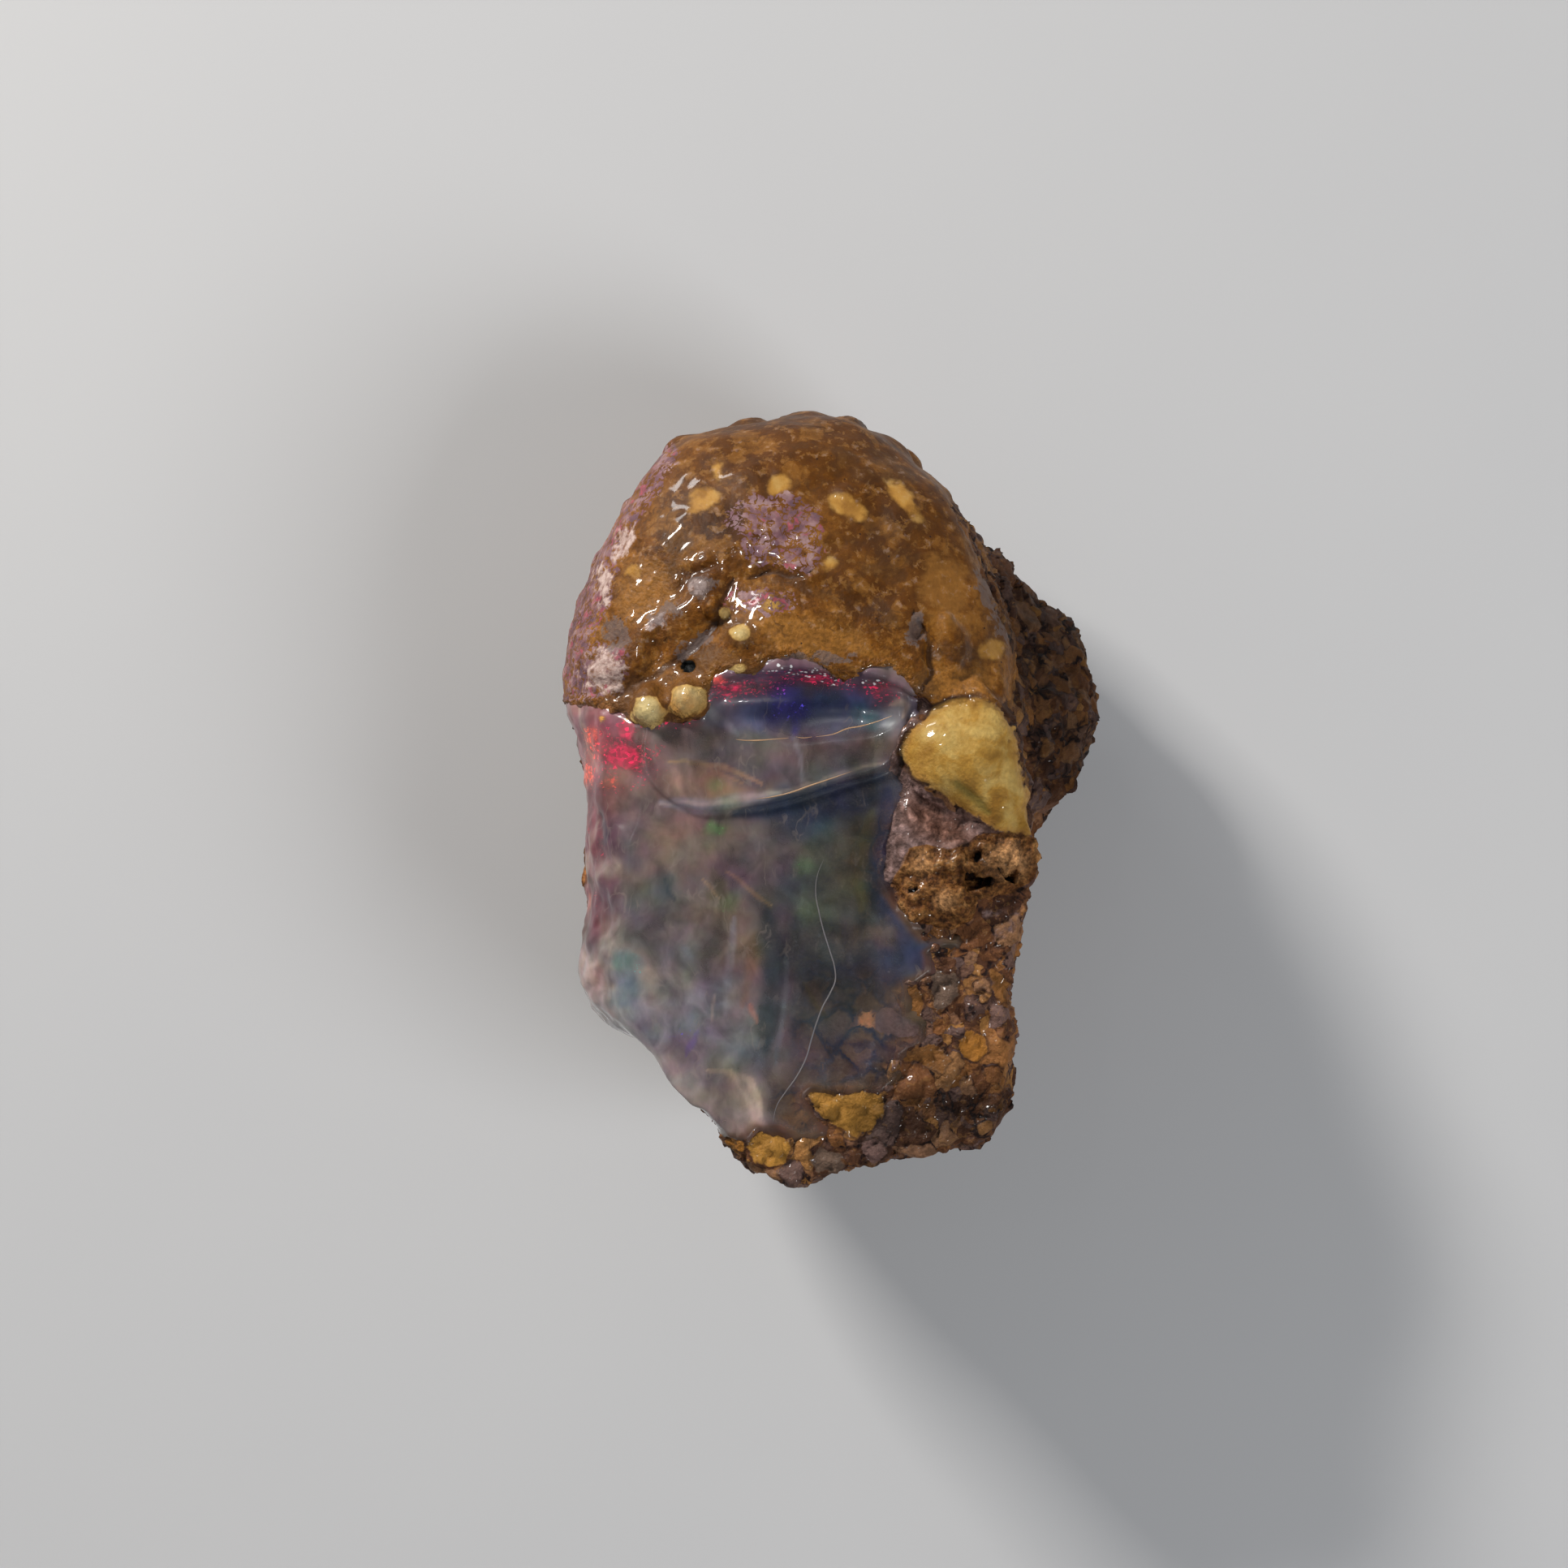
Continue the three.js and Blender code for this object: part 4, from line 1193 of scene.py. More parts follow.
# %% Lines and strokes of the opal
CREST_LINE = [
    (-9.0, 10.6), (-6.9, 11.0), (-4.3, 10.85), (-2.5, 10.6), (-1.3, 10.3), (-0.2, 9.85), (1.1, 9.6),
    (2.9, 9.5), (4.3, 9.8),
]
LIP_LINE = [
    (-14.8, -0.7), (-12.9, -0.6), (-10.8, -0.7), (-8.8, -0.4), (-6.7, -0.1), (-3.6, 0.5), (-1.2, 1.2),
    (1.2, 2.0), (4.3, 3.0),
]
HAZE_STROKES = [
    # Painted shadow under the lip of the raised shell.
    (PAINTED_LIP_SHADOW, 0.85, 0.9, [(-8.4, -1.5), (-5.7, -1.2), (-2.9, -0.7), (0.2, 0.4), (4.0, 1.6)]),
    # The next two strokes are a painted highlight along the lip of the raised shell.
    (MILK, 0.80, 0.65, [(-14.6, -0.6), (-12.6, -0.8), (-10.1, -0.8), (-7.4, -0.4), (-4.6, 0.2)]),
    (CREAM_WHITE, 0.30, 0.25, LIP_LINE),
    (GOLDEN, 0.60, 0.22, [(-14.1, 2.9), (-12.2, 2.9), (-10.1, 2.6), (-8.4, 2.1), (-7.0, 1.5),
                          (-6.1, 1.0)]),
    (GOLDEN, 0.45, 0.18, [(-10.8, 2.5), (-9.1, 1.7), (-7.7, 1.0)]),
    (GOLDEN, 0.50, 0.22, [(-9.2, -6.4), (-7.9, -7.2), (-6.7, -8.3), (-5.3, -9.5)]),
    (GOLDEN, 0.45, 0.16, [(-11.0, -7.1), (-10.3, -8.1), (-9.7, -8.7)]),
    (SLATE, 0.70, 0.18, [(-14.4, -7.0), (-13.9, -8.3), (-13.4, -9.0)]),
    (OLIVE, 0.35, 0.80, [(3.2, -1.4), (2.8, -4.1), (2.3, -7.2), (2.4, -9.7)]),
    (DEEP_BLUE, 0.45, 1.20, [(4.5, 0.3), (4.3, -3.4), (3.9, -6.9), (4.5, -9.0), (5.7, -11.0)]),
    (DEEP_BLUE, 0.45, 1.10, [(5.7, -11.7), (7.1, -13.8), (7.8, -14.5)]),
    (DEEP_BLUE, 0.80, 0.30, [(0.6, -21.0), (2.3, -21.0), (4.3, -21.4), (5.7, -21.7)]),
    (MILK, 0.45, 0.22, [(-3.4, 5.2), (-2.9, 3.4), (-2.6, 1.2)]),
    (MILK, 0.45, 0.45, [(-11.0, 7.7), (-9.8, 6.6), (-8.1, 5.2)]),
    (CREAM_WHITE, 0.60, 0.30, [(4.7, 7.6), (5.6, 8.1), (6.3, 7.6), (5.9, 6.6)]),
    (MILK, 0.50, 0.35, [(-8.4, -10.3), (-8.8, -13.8), (-9.2, -18.6)]),
    (WARM_BROWN, 0.45, 0.45, [(-6.7, -11.7), (-7.0, -14.5), (-7.7, -17.9)]),
    (INK, 0.80, 1.20, [(-5.6, -10.0), (-5.0, -13.8), (-5.2, -17.9), (-5.8, -21.4)]),
    (BLUE_WHITE, 0.45, 0.28, [(-4.1, -13.6), (-4.0, -16.6), (-4.4, -19.6), (-5.0, -22.8)]),
    (INK, 0.40, 0.60, [(-2.9, -13.8), (-2.9, -17.2), (-3.4, -20.7)]),
    (VIOLET_MIST, 0.60, 0.30, [(-11.5, -20.0), (-12.0, -21.0), (-12.6, -22.2)]),
    (CREAM_WHITE, 0.75, 0.32, [(-10.8, -23.3), (-8.8, -23.5), (-7.0, -24.2), (-6.6, -25.6), (-6.0, -27.8)]),
    (CREAM_WHITE, 0.70, 0.30, [(-6.3, -28.8), (-6.8, -26.9), (-7.7, -24.8), (-8.8, -23.3)]),
    (CREAM_WHITE, 0.70, 0.22, [(-6.3, -28.8), (-6.3, -26.6), (-6.7, -24.5)]),
    (CREAM_WHITE, 0.90, 0.40, [(-7.6, -29.4), (-6.8, -28.6), (-5.9, -27.9)]),
    (MILK, 0.45, 1.10, [(-12.6, -13.1), (-11.5, -17.2), (-10.1, -21.4), (-9.4, -24.1)]),
    (CREAM_WHITE, 0.45, 0.14, [(-10.1, -16.7), (-10.3, -17.9), (-10.1, -19.7)]),
    (OLIVE, 0.60, 0.25, [(-2.6, -15.9), (-1.5, -17.6), (-0.5, -19.0)]),
    (SALMON, 0.40, 0.28, [(-7.2, -17.8), (-6.8, -18.5), (-6.4, -19.3)]),
    (CREAM_WHITE, 0.50, 0.22, [(-20.1, -2.1), (-20.6, -4.8), (-20.9, -7.6)]),
    (CREAM_WHITE, 0.50, 0.25, [(-21.0, -15.2), (-20.6, -17.9), (-19.4, -19.0)]),
    (CREAM_WHITE, 0.40, 0.20, [(-21.7, 7.6), (-21.0, 4.8), (-20.3, 2.1)]),
    (SLATE, 0.60, 0.30, [(-19.9, -1.4), (-19.2, -3.1), (-19.4, -4.1)]),
    (BROWN_BIT, 0.85, 0.40, [(-17.7, -21.6), (-15.7, -24.3), (-13.2, -26.8), (-11.5, -28.3),
                             (-9.8, -29.5)]),
]
print(len(HAZE_STROKES), "strokes")

# %% Clear places and places of fire
CLEAR_GENERALLY = 0.30
CLEARNESS = [
    (0.48, (1.2, -8.5), (4.2, 8.0)),
    (0.78, (2.5, -21.0), (6.0, 4.6), -12),
    (0.85, (6.0, -19.5), (2.6, 5.6)),
    (0.70, (1.5, -17.0), (5.0, 3.0)),
    (0.75, (-2.0, -26.5), (3.0, 3.0), -20),
    (0.12, (6.8, -13.2), (3.0, 2.6)),
    (0.12, (-13.0, -20.0), (6.5, 7.5), -30),
    (0.02, (-7.3, -26.6), (1.6, 3.2), 8),
    (0.10, (-12.5, -6.0), (7.5, 9.0)),
    (0.18, (-8.5, -14.0), (2.5, 6.5)),
    (0.12, (-9.0, 1.5), (7.0, 2.4)),
    (0.12, (-21.0, -4.0), (3.2, 17.0)),
    (0.15, (-2.0, 7.6), (7.0, 2.0)),
    (0.10, (-1.0, 10.4), (9.0, 0.9)),
]
FIRE_COLOURS = {
    "crimson": (0.85, 0.025, 0.10), "orange": (0.9, 0.14, 0.05), "green": (0.10, 0.55, 0.09),
    "violet": (0.12, 0.08, 0.75), "yellow": (0.9, 0.5, 0.05), "teal": (0.02, 0.40, 0.36),
}
FIRE = [
    ("crimson", 1.00, (-17.9, 3.3), (1.3, 0.9)), ("crimson", 0.75, (-17.6, 5.7), (0.8, 1.0)),
    ("crimson", 0.40, (-18.6, 3.4), (2.8, 2.6)), ("orange", 0.70, (-20.7, 5.2), (0.7, 0.8)),
    ("orange", 0.45, (-20.5, 3.6), (0.8, 0.8)), ("orange", 0.80, (-21.2, 1.6), (0.7, 1.2)),
    ("orange", 0.55, (-19.1, 1.0), (0.8, 0.5)), ("crimson", 0.22, (-15.6, 2.8), (1.4, 1.8)),
    ("green", 0.95, (-17.5, 6.7), (0.35, 0.3)), ("yellow", 0.90, (-19.7, 6.6), (0.25, 0.25)),
    ("crimson", 0.40, (-14.3, 6.2), (1.6, 0.5)), ("crimson", 0.45, (-12.0, 6.2), (1.0, 0.4)),
    ("orange", 0.55, (-9.9, 10.0), (0.8, 0.6)), ("crimson", 0.35, (-9.4, 9.6), (1.4, 1.0)),
    ("crimson", 0.46, (-6.8, 9.3), (2.4, 0.7)), ("crimson", 0.36, (-8.8, 8.5), (2.8, 0.7)),
    ("crimson", 0.40, (-3.6, 10.2), (2.4, 0.6)), ("crimson", 0.65, (-1.1, 9.9), (1.6, 0.5)),
    ("crimson", 0.40, (2.0, 9.2), (3.0, 0.6)), ("crimson", 0.45, (4.2, 8.6), (1.2, 1.0)),
    ("violet", 0.32, (-3.9, 7.8), (1.6, 1.5)), ("teal", 0.25, (2.7, 6.9), (0.8, 0.8)),
    ("green", 0.22, (-10.1, -2.9), (0.8, 0.6)), ("teal", 0.22, (-17.3, -14.6), (1.0, 1.2)),
    ("green", 0.16, (-2.9, -6.4), (0.6, 0.9)), ("green", 0.14, (-8.9, -9.4), (0.8, 0.6)),
    ("green", 0.16, (-9.8, 0.8), (0.5, 0.4)), ("teal", 0.06, (-0.8, -3.6), (1.6, 1.2)),
    ("violet", 0.10, (-12.6, -20.0), (1.6, 1.2)), ("crimson", 0.12, (-20.5, -5.0), (1.2, 6.0)),
]
print(len(CLEARNESS), "clear or milky places,", len(FIRE), "places of fire")

# %% [markdown]
# ## Laying the glazes
#
# In the real opal the haze drifts through the depth. One could fill the body with a volume of smoke, which
# is slow and grainy, and which many viewers can't show. Here the colours are worked out for every point of
# the fine skin, one glaze over another, and kept there for the shader, which breaks them up with noise.
# A low value of clear makes a place milky. Along the pink left edge the skin itself gets small ripples.

# %% Laying glazes, strokes and fire on a skin


def laid_over(colour, tint, share):
    """One colour per place with a tint laid over it, as much of it as share says."""
    return colour + (np.array(tint) - colour) * share[:, None]


def glazed(place, ground, glazes):
    """One colour per place: the ground with every glaze laid over it in turn."""
    colour = np.tile(np.array(ground, float), (len(place), 1))
    for tint, strength, *ellipse in glazes:
        colour = laid_over(colour, tint, strength * touch(place, *ellipse))
    return colour


def stroked(place, colour, strokes):
    """The colour with every stroke drawn over it in turn."""
    for tint, strength, width, line in strokes:
        colour = laid_over(colour, tint, strength * stroke(place, width, line))
    return colour


def keep_fire(piece, place, several):
    """The colour of the fire at each place, and how much of it there is."""
    amounts = np.array([strength * touch(place, *ellipse) for _, strength, *ellipse in several])
    colours = np.array([FIRE_COLOURS[name] for name, *_ in several])
    total = amounts.sum(axis=0)
    mixed = (amounts.T @ colours) / np.maximum(total, 1e-6)[:, None]
    keep(piece, "fire_colour", np.column_stack([mixed, np.ones(len(place))]))
    keep(piece, "fire", np.clip(total, 0, 1))


print("glazes can be laid")

# %% Lay the haze
points = places_of(opal)
place = seen_from_above(points)
inward = read(opal.data.attributes["inward"].data, "color", 4)[:, :3]
depth_in = read(opal.data.attributes["depth_in"].data, "value")
drift = place + wandering(points, 3.2, 1.1, 11)[:, :2] + wandering(points, 0.9, 0.35, 12)[:, :2]
haze = glazed(drift, SMOKE, HAZE_GLAZES)
haze = stroked(place + wandering(points, 1.2, 0.22, 14)[:, :2], haze, HAZE_STROKES)
border = eased(0.75, 0.1, depth_in) * eased(-6, -9, place[:, 1])
haze = laid_over(haze, BROWN_EDGE, border * 0.8)
# Besides the haze, this colour carries the painted shadow under the shell's lip and the painted highlight
# along it.
keep(opal, "haze", np.column_stack([haze, np.ones(len(haze))]))
print("haze painted at", len(points), "points")

# %% Clear places, dull places and fire
DULL_PLACES = [((-2.0, 7.8), (8.0, 3.0)), ((-20.5, 6.0), (2.5, 3.0)), ((5.0, 4.0), (2.5, 3.0))]
DULL_LEFT_EDGE = ((-20.6, -5.0), (2.4, 8.5))
LIP_WIDTH = 0.75
CREST_WIDTH = 0.42
clear = np.full(len(place), CLEAR_GENERALLY)
for amount, *ellipse in CLEARNESS:
    clear += (amount - clear) * touch(drift, *ellipse)
# The lip is made milky, so that its painted highlight shows.
clear *= 1 - stroke(place, LIP_WIDTH, LIP_LINE)
clear *= 1 - border * 0.7
clear *= 1 - 0.9 * eased(1.3, 0.2, depth_in) * eased(3, 6, place[:, 1])
keep(opal, "crest", stroke(place, CREST_WIDTH, CREST_LINE))
dull = touches(place, DULL_PLACES)
dull = np.maximum(dull, 0.9 * touch(place, *DULL_LEFT_EDGE))
keep(opal, "dull", np.maximum(dull, border))
keep(opal, "clear", clear)
keep_fire(opal, place + wandering(points, 0.8, 0.2, 13)[:, :2], FIRE)
print("clearness from", round(float(clear.min()), 2), "to", round(float(clear.max()), 2))

# %% Ripples of the pink left edge
skin = eased(-16.8, -19.6, place[:, 0] + wandering(points, 3.0, 0.8, 15)[:, 0])
ripple = wandering(points, 2.3, 0.40, 16)[:, 0] + wandering(points, 0.8, 0.10, 17)[:, 0]
points = points - inward * (skin * ripple)[:, None]
print("ripples of", round(float(np.abs(skin * ripple).max()), 2), "mm at most")

# %% [markdown]
# ## From a skin to a body
#
# Light bends where it enters and where it leaves a closed body, so the opal can't stay an open skin. A
# Solidify modifier would give it one even thickness, but the real opal is as deep as its bed. So the skin
# is extruded in place, and each half then moves along the inward directions that it kept: the outer one
# only at its buried rim, the under one to just past the bed.

# %% Close the body
EXTRA_DEPTH = 0.3
PAST_THE_BED = 1.25
RIM_SLOPE = 0.8
RIM_STEP = 0.03
rim_drop = np.maximum(-depth_in, 0) * RIM_SLOPE + RIM_STEP * (depth_in < 0)
sink = bed_depth(place, depth_in)
outer = points + inward * rim_drop[:, None]
under = points + inward * (rim_drop + EXTRA_DEPTH + sink * PAST_THE_BED)[:, None]
only(opal)
bpy.ops.object.mode_set(mode="EDIT")
bpy.ops.mesh.select_all(action="SELECT")
bpy.ops.mesh.extrude_region_move(TRANSFORM_OT_translate={"value": (0, 0, 0)})
bpy.ops.object.mode_set(mode="OBJECT")
moved = read(opal.data.vertices, "select")
body = places_of(opal)
body[~moved] = under
body[moved] = outer
put_places(opal, body)
edges = read(opal.data.edges, "vertices", 2)
softened = calmed(body, edges, 10)
body[~moved] = softened[~moved]
put_places(opal, body)
bpy.ops.object.mode_set(mode="EDIT")
bpy.ops.mesh.select_all(action="SELECT")
bpy.ops.mesh.normals_make_consistent(inside=False)
bpy.ops.object.mode_set(mode="OBJECT")
for name in ("inward", "depth_in"):
    opal.data.attributes.remove(opal.data.attributes[name])
bpy.ops.object.shade_smooth()
print("opal body:", len(opal.data.polygons), "faces, outer points", int(moved.sum()))

# %% [markdown]
# ## The finish of the opal
#
# A Mix Shader goes between a milky shader and a clear one. The milky shader carries the haze's colour,
# the clear one lets light through with the opal's index of refraction, and the body absorbs a little of
# it on its way. Play-of-colour comes from layers of tiny spheres and moves when the stone is turned. A
# finish that the export can keep stands still, so the fire is fixed flecks: a fine noise lights up past a
# threshold, sooner where the mesh keeps more fire, and the strongest places also get a glowing core. A
# cell pattern makes some flecks bright and some faint.

# %% Patterns of the haze
opal_finish = new_finish("precious_opal")
place = own_place()
haze = painted("haze")
veil = mottled(bent(place, 5.0, 2.0) * (1.1, 0.8, 1.0), 4.6, 3, 0.5, 0.9)
wisp = cloud(bent(place, 2.4, 0.9) * (1.15, 0.75, 1.0), 1.7, 4, 0.5, 0.6) - 0.5
fibre = cloud(bent(place, 1.3, 0.5) * (1.3, 0.6, 1.0), 0.7, 4, 0.6) - 0.5
pastel = cloud(place, 2.9, 4, 0.5).output("Color") * 0.75 + 0.625
body_tone = haze * (0.80 + veil * 0.45 + wisp * 0.7 + fibre * 0.35) * pastel * (1.05, 1.0, 1.0)
sheet = cloud(bent(place, 2.6, 1.0) * (1.5, 0.5, 1.0), 2.2, 2)
thread = lines_in(sheet, 0.004, 0.03) * cloud(place, 3.6, 2).above(0.50, 0.62)
body_tone = tinted(thread * 0.25, body_tone, (0.30, 0.24, 0.20))
print("haze of", len(Wire.tree.nodes), "nodes")

# %% Flecks of fire and painted glints on the crest
flake_place = bent(place * (0.85, 1.2, 1.1), 0.5, 0.16)
glow, _, _ = parts(cells(flake_place, 0.33))
fire = field("fire")
dust = cloud(flake_place, 0.26, 3, 0.6) + fire * 0.26 + cloud(place, 1.3, 2) * 0.3 - 0.80
lit = dust.above(0.0, 0.07) * (0.10 + glow * glow * 0.9) * fire.above(0.02, 0.15)
core = (fire + (cloud(place, 0.9, 2) - 0.5) * 0.9).above(0.60, 1.05)
lit = lit.most(core * (0.35 + glow * 0.5))
fire_tint = painted("fire_colour") * lit
# White dots along the crest are painted glints: highlights of wet beads laid into the colour.
painted_crest_glints = dots(bent(place, 0.6, 0.2), 0.45, 0.24, 0.38)
painted_crest_glints = painted_crest_glints * field("crest").above(0.1, 0.5) * mottled(place, 1.2).above(0.15, 0.40)
print("fire and grains added:", len(Wire.tree.nodes), "nodes")

# %% Precious opal, milky and clear
OPAL_INDEX = 1.45
FIRE_GLOW = 0.45
SMOKE_TINT = (0.60, 0.66, 0.76)
SMOKE_DENSITY = 115.0
PAINTED_GLINT_WHITE = (0.92, 0.91, 0.90)
clearness = (field("clear") + (0.5 - veil) * 0.22 - wisp * 0.3) * (1 - lit * 0.8) * (1 - painted_crest_glints)
milky_tone = layered(
    body_tone, (fire * 0.4, painted("fire_colour") * 0.30), (lit * 0.8, fire_tint), (painted_crest_glints, PAINTED_GLINT_WHITE),
)
# The flecks of fire also shine through Emission: a painted glow that stands in for the light the opal's
# spheres send back.
milky = shader(
    Base_Color=milky_tone,
    Roughness=0.30, IOR=OPAL_INDEX, Coat_Weight=1.0 - field("dull") * 0.8, Coat_Roughness=0.04,
    Emission_Color=fire_tint, Emission_Strength=FIRE_GLOW,
)
clear = shader(
    Base_Color=(0.93, 0.93, 0.95), Roughness=0.05, IOR=OPAL_INDEX, Transmission_Weight=1.0,
)
surface = Wire.make("ShaderNodeMixShader", {}, {0: clearness.least(0.95).most(0.0), 1: milky, 2: clear})
smoke = Wire.make("ShaderNodeVolumeAbsorption", {}, {"Color": SMOKE_TINT, "Density": SMOKE_DENSITY})
close_finish(opal, opal_finish, surface, smoke)

# %% [markdown]
# ## The finish of the host rock
#
# The finish is laid up in the order in which the stone grew: first the fragments and their dark joints,
# then the ochre crust with its lilac windows, then the clay, the knob and the cream nodules. The masks
# come from the regions that the mesh keeps, with noise added before a threshold, which gives each region
# a ragged edge of its own. One could also paint a texture by hand, but this one stays sharp at any size.

# %% Host rock: patterns and fragments
rock_finish = new_finish("host_rock")
place = own_place()
tone, joint, _ = fragments(place)
grit = mottled(place, 0.32, 2)
chips = mottled(place, 0.75, 3)
mottle = mottled(place, 1.4, 4, 0.55)
patchy = mottled(place, 4.4, 4, 0.55, 0.5)
sunk = field("sunk")
uneven = (mottle - 0.5) * 0.35 + (chips - 0.5) * 0.2

fragment_tone = scale_of(
    tone, (0.0, (0.060, 0.024, 0.013)), (0.2, (0.160, 0.062, 0.024)), (0.38, (0.27, 0.110, 0.030)),
    (0.5, (0.150, 0.086, 0.072)), (0.62, (0.36, 0.165, 0.046)), (0.74, (0.165, 0.066, 0.027)),
    (0.86, (0.085, 0.036, 0.020)), (1.0, (0.150, 0.090, 0.076)),
)
fragment_tone = fragment_tone * (0.52 + chips * 0.38 + mottle * 0.35 + grit * 0.15)
crumbs = (chips * 0.6 + grit * 0.4).above(0.66, 0.84)
fragment_tone = tinted(crumbs * 0.4, fragment_tone, (0.27, 0.135, 0.042))
named_depth = field("named") + uneven
named = named_depth.above(0.0, 0.16)
rim = named_depth.above(-0.35, -0.05) * (1 - named)
named_tone = painted("named_tint") * (0.45 + mottle * 0.45 + chips * 0.30 + named_depth.least(0.6) * 0.5)
fragment_tone = tinted(named, tinted(rim * 0.6, fragment_tone, (0.020, 0.009, 0.006)), named_tone)
open_joint = open_joints(place)
gap = (1 - joint.above(0.0, 0.06 + open_joint * 0.22)) * (0.35 + open_joint * 0.65) * (1 - named)
lost_grain = (gap * 0.7 + (1 - chips) * 0.6 - mottle * 0.35).above(0.62, 0.95) * (1 - named)
breccia = layered(
    fragment_tone, (gap * 0.75, (0.030, 0.012, 0.009)), (lost_grain * 0.85, (0.010, 0.005, 0.005)),
)
# Painted shade darkens the rock behind the dome and along the lower edge.
breccia = breccia * between(field("dark_rock"), 1.0, 0.36)
print("fragments laid up:", len(Wire.tree.nodes), "nodes")

# %% [markdown]
# ## Colours of the crust
#
# The crust is a thin skin of clay that iron has stained from tawny to amber. It has paler blots and darker
# flecks, yellow spots, and windows of lilac opal where it has worn through. One colour ramp on one noise
# would look like paint. So the cells lay washes one over another, as a painter would, and each wash is a
# share, made of noise and of the numbers that the mesh keeps, with its colour.

# %% Host rock: the washes of the crust
flecks = mottled(bent(place, 1.6, 0.5), 0.8, 4, 0.6)
blots = mottled(bent(place, 3.0, 1.2), 3.2, 5, 0.6)
tawny = scale_of(
    patchy, (0.0, (0.105, 0.037, 0.0035)), (0.5, (0.162, 0.060, 0.006)), (1.0, (0.235, 0.100, 0.015)),
)
amber = scale_of(
    patchy, (0.0, (0.048, 0.016, 0.0013)), (0.5, (0.094, 0.032, 0.0026)), (1.0, (0.148, 0.056, 0.0055)),
)
# The amber wash is partly the crust's darker amber and partly painted shade in the hollows and on the top.
ochre = tinted((field("amber") + (mottle - 0.5) * 0.5).above(0.25, 0.75), tawny, amber)
ochre = layered(
    ochre,
    (blots.above(0.58, 0.80) * 0.50, (0.26, 0.115, 0.020)),
    (blots.above(0.40, 0.20) * 0.45, (0.090, 0.033, 0.005)),
    (flecks.above(0.64, 0.80) * 0.40, (0.29, 0.145, 0.036)),
    (flecks.above(0.34, 0.20) * 0.40, (0.080, 0.029, 0.005)),
    ((field("golden") + (mottle - 0.5) * 0.6).above(0.2, 0.9) * 0.6, (0.30, 0.138, 0.028)),
)
sandy = field("pitted")
ochre = ochre * (0.82 - sandy * 0.16 + grit * (0.12 + sandy * 0.30) + chips * (0.2 + sandy * 0.1))
ochre = ochre * (0.96, 0.90, 0.86)
vein = lines_in(cloud(bent(place, 2.5, 0.9), 2.4, 3, 0.5), 0.0, 0.03)
# The dark zones give darker crust and also painted shade in the hollows and across the top of the dome.
dark_and_shade_share = (field("dark") * 0.8 + (patchy - 0.5) * 0.5 + (mottle - 0.5) * 0.6).above(0.30, 0.9)
# Painted shade along the creases.
crease_shade_share = (field("crease") + (mottle - 0.5) * 0.3).above(0.3, 0.9)
speck_choice, _, _ = parts(cells(place, 1.2))
specks = dots(place, 1.2, 0.05, 0.10) * speck_choice.above(0.60, 0.64)
ochre = layered(
    ochre,
    (vein * mottled(place, 3.0).above(0.45, 0.8) * 0.6, (0.070, 0.028, 0.007)),
    (dark_and_shade_share * 0.6, (0.045, 0.019, 0.007)),
    (crease_shade_share * 0.8, (0.055, 0.022, 0.008)),
    (specks, (0.02, 0.010, 0.007)),
)
print("crust washed:", len(Wire.tree.nodes), "nodes")

# %% Host rock: spots, lilac windows and patches
spots = field("spots") + uneven * 0.7
ochre = tinted(spots.above(-0.5, 0.0) * 0.3, ochre, (0.085, 0.034, 0.008))
spot_tone = scale_of(
    mottle * 0.4 + patchy * 0.6, (0.1, (0.25, 0.110, 0.019)), (0.5, (0.41, 0.205, 0.040)),
    (0.9, (0.48, 0.295, 0.090)),
)
ochre = tinted(spots.above(-0.08, 0.40), ochre, spot_tone)
filigree = mottled(bent(place, 1.0, 0.3), 0.8, 3, 0.6)
lilac_tone = scale_of(
    mottled(place, 1.6), (0.0, (0.115, 0.066, 0.092)), (0.45, (0.205, 0.102, 0.124)),
    (1.0, (0.345, 0.215, 0.22)),
)
blush = mottled(bent(place, 1.2, 0.5), 0.9).above(0.72, 0.90) * mottled(place, 2.2).above(0.45, 0.8)
lilac_tone = tinted(blush * 0.8, lilac_tone, (0.38, 0.065, 0.095))
net = lines_in(cloud(bent(place, 1.2, 0.5), 0.9, 3, 0.55), 0.015, 0.085)
torn = (mottled(bent(place, 3.0, 1.0), 2.6, 4, 0.6) - 0.5) * 0.45
lilac_share = (field("lilac") * 1.05 + torn * 0.8 + (filigree - 0.5) * 0.35 - net * 0.80).above(0.34, 0.60)
ochre = tinted(lilac_share * 0.85, ochre, lilac_tone * (0.75 + grit * 0.3))
pale_share = (field("pale") * 0.9 + (filigree - 0.5) * 0.8).above(0.25, 0.85)
pale_tone = scale_of(filigree, (0.1, (0.27, 0.16, 0.13)), (0.9, (0.56, 0.42, 0.37)))
ochre = tinted(pale_share * 0.95, ochre, pale_tone)
grey_share = (field("grey") * 0.8 + (flecks - 0.5) * 0.8).above(0.40, 0.6)
ochre = tinted(grey_share * 0.6, ochre, (0.125, 0.105, 0.105))
crust_share = (field("crust") + (mottled(place, 1.2, 4, 0.6) - 0.5) * 0.5).above(0.42, 0.58)
colour = tinted(crust_share, breccia, ochre)
print("crust laid up:", len(Wire.tree.nodes), "nodes")

# %% [markdown]
# ## Colours of the rim, the knob and the clay
#
# Beside the window lie a beaded mauve rim, a knob of porous iron-stained clay, one large yellow lump and
# small cream nodules. As pieces of their own they would show a clean seam where they meet. They have grown
# together, so they stay one skin, and each gets its colours through a share with a ragged edge. A dark line
# is laid down just outside the edge of the lumps first.

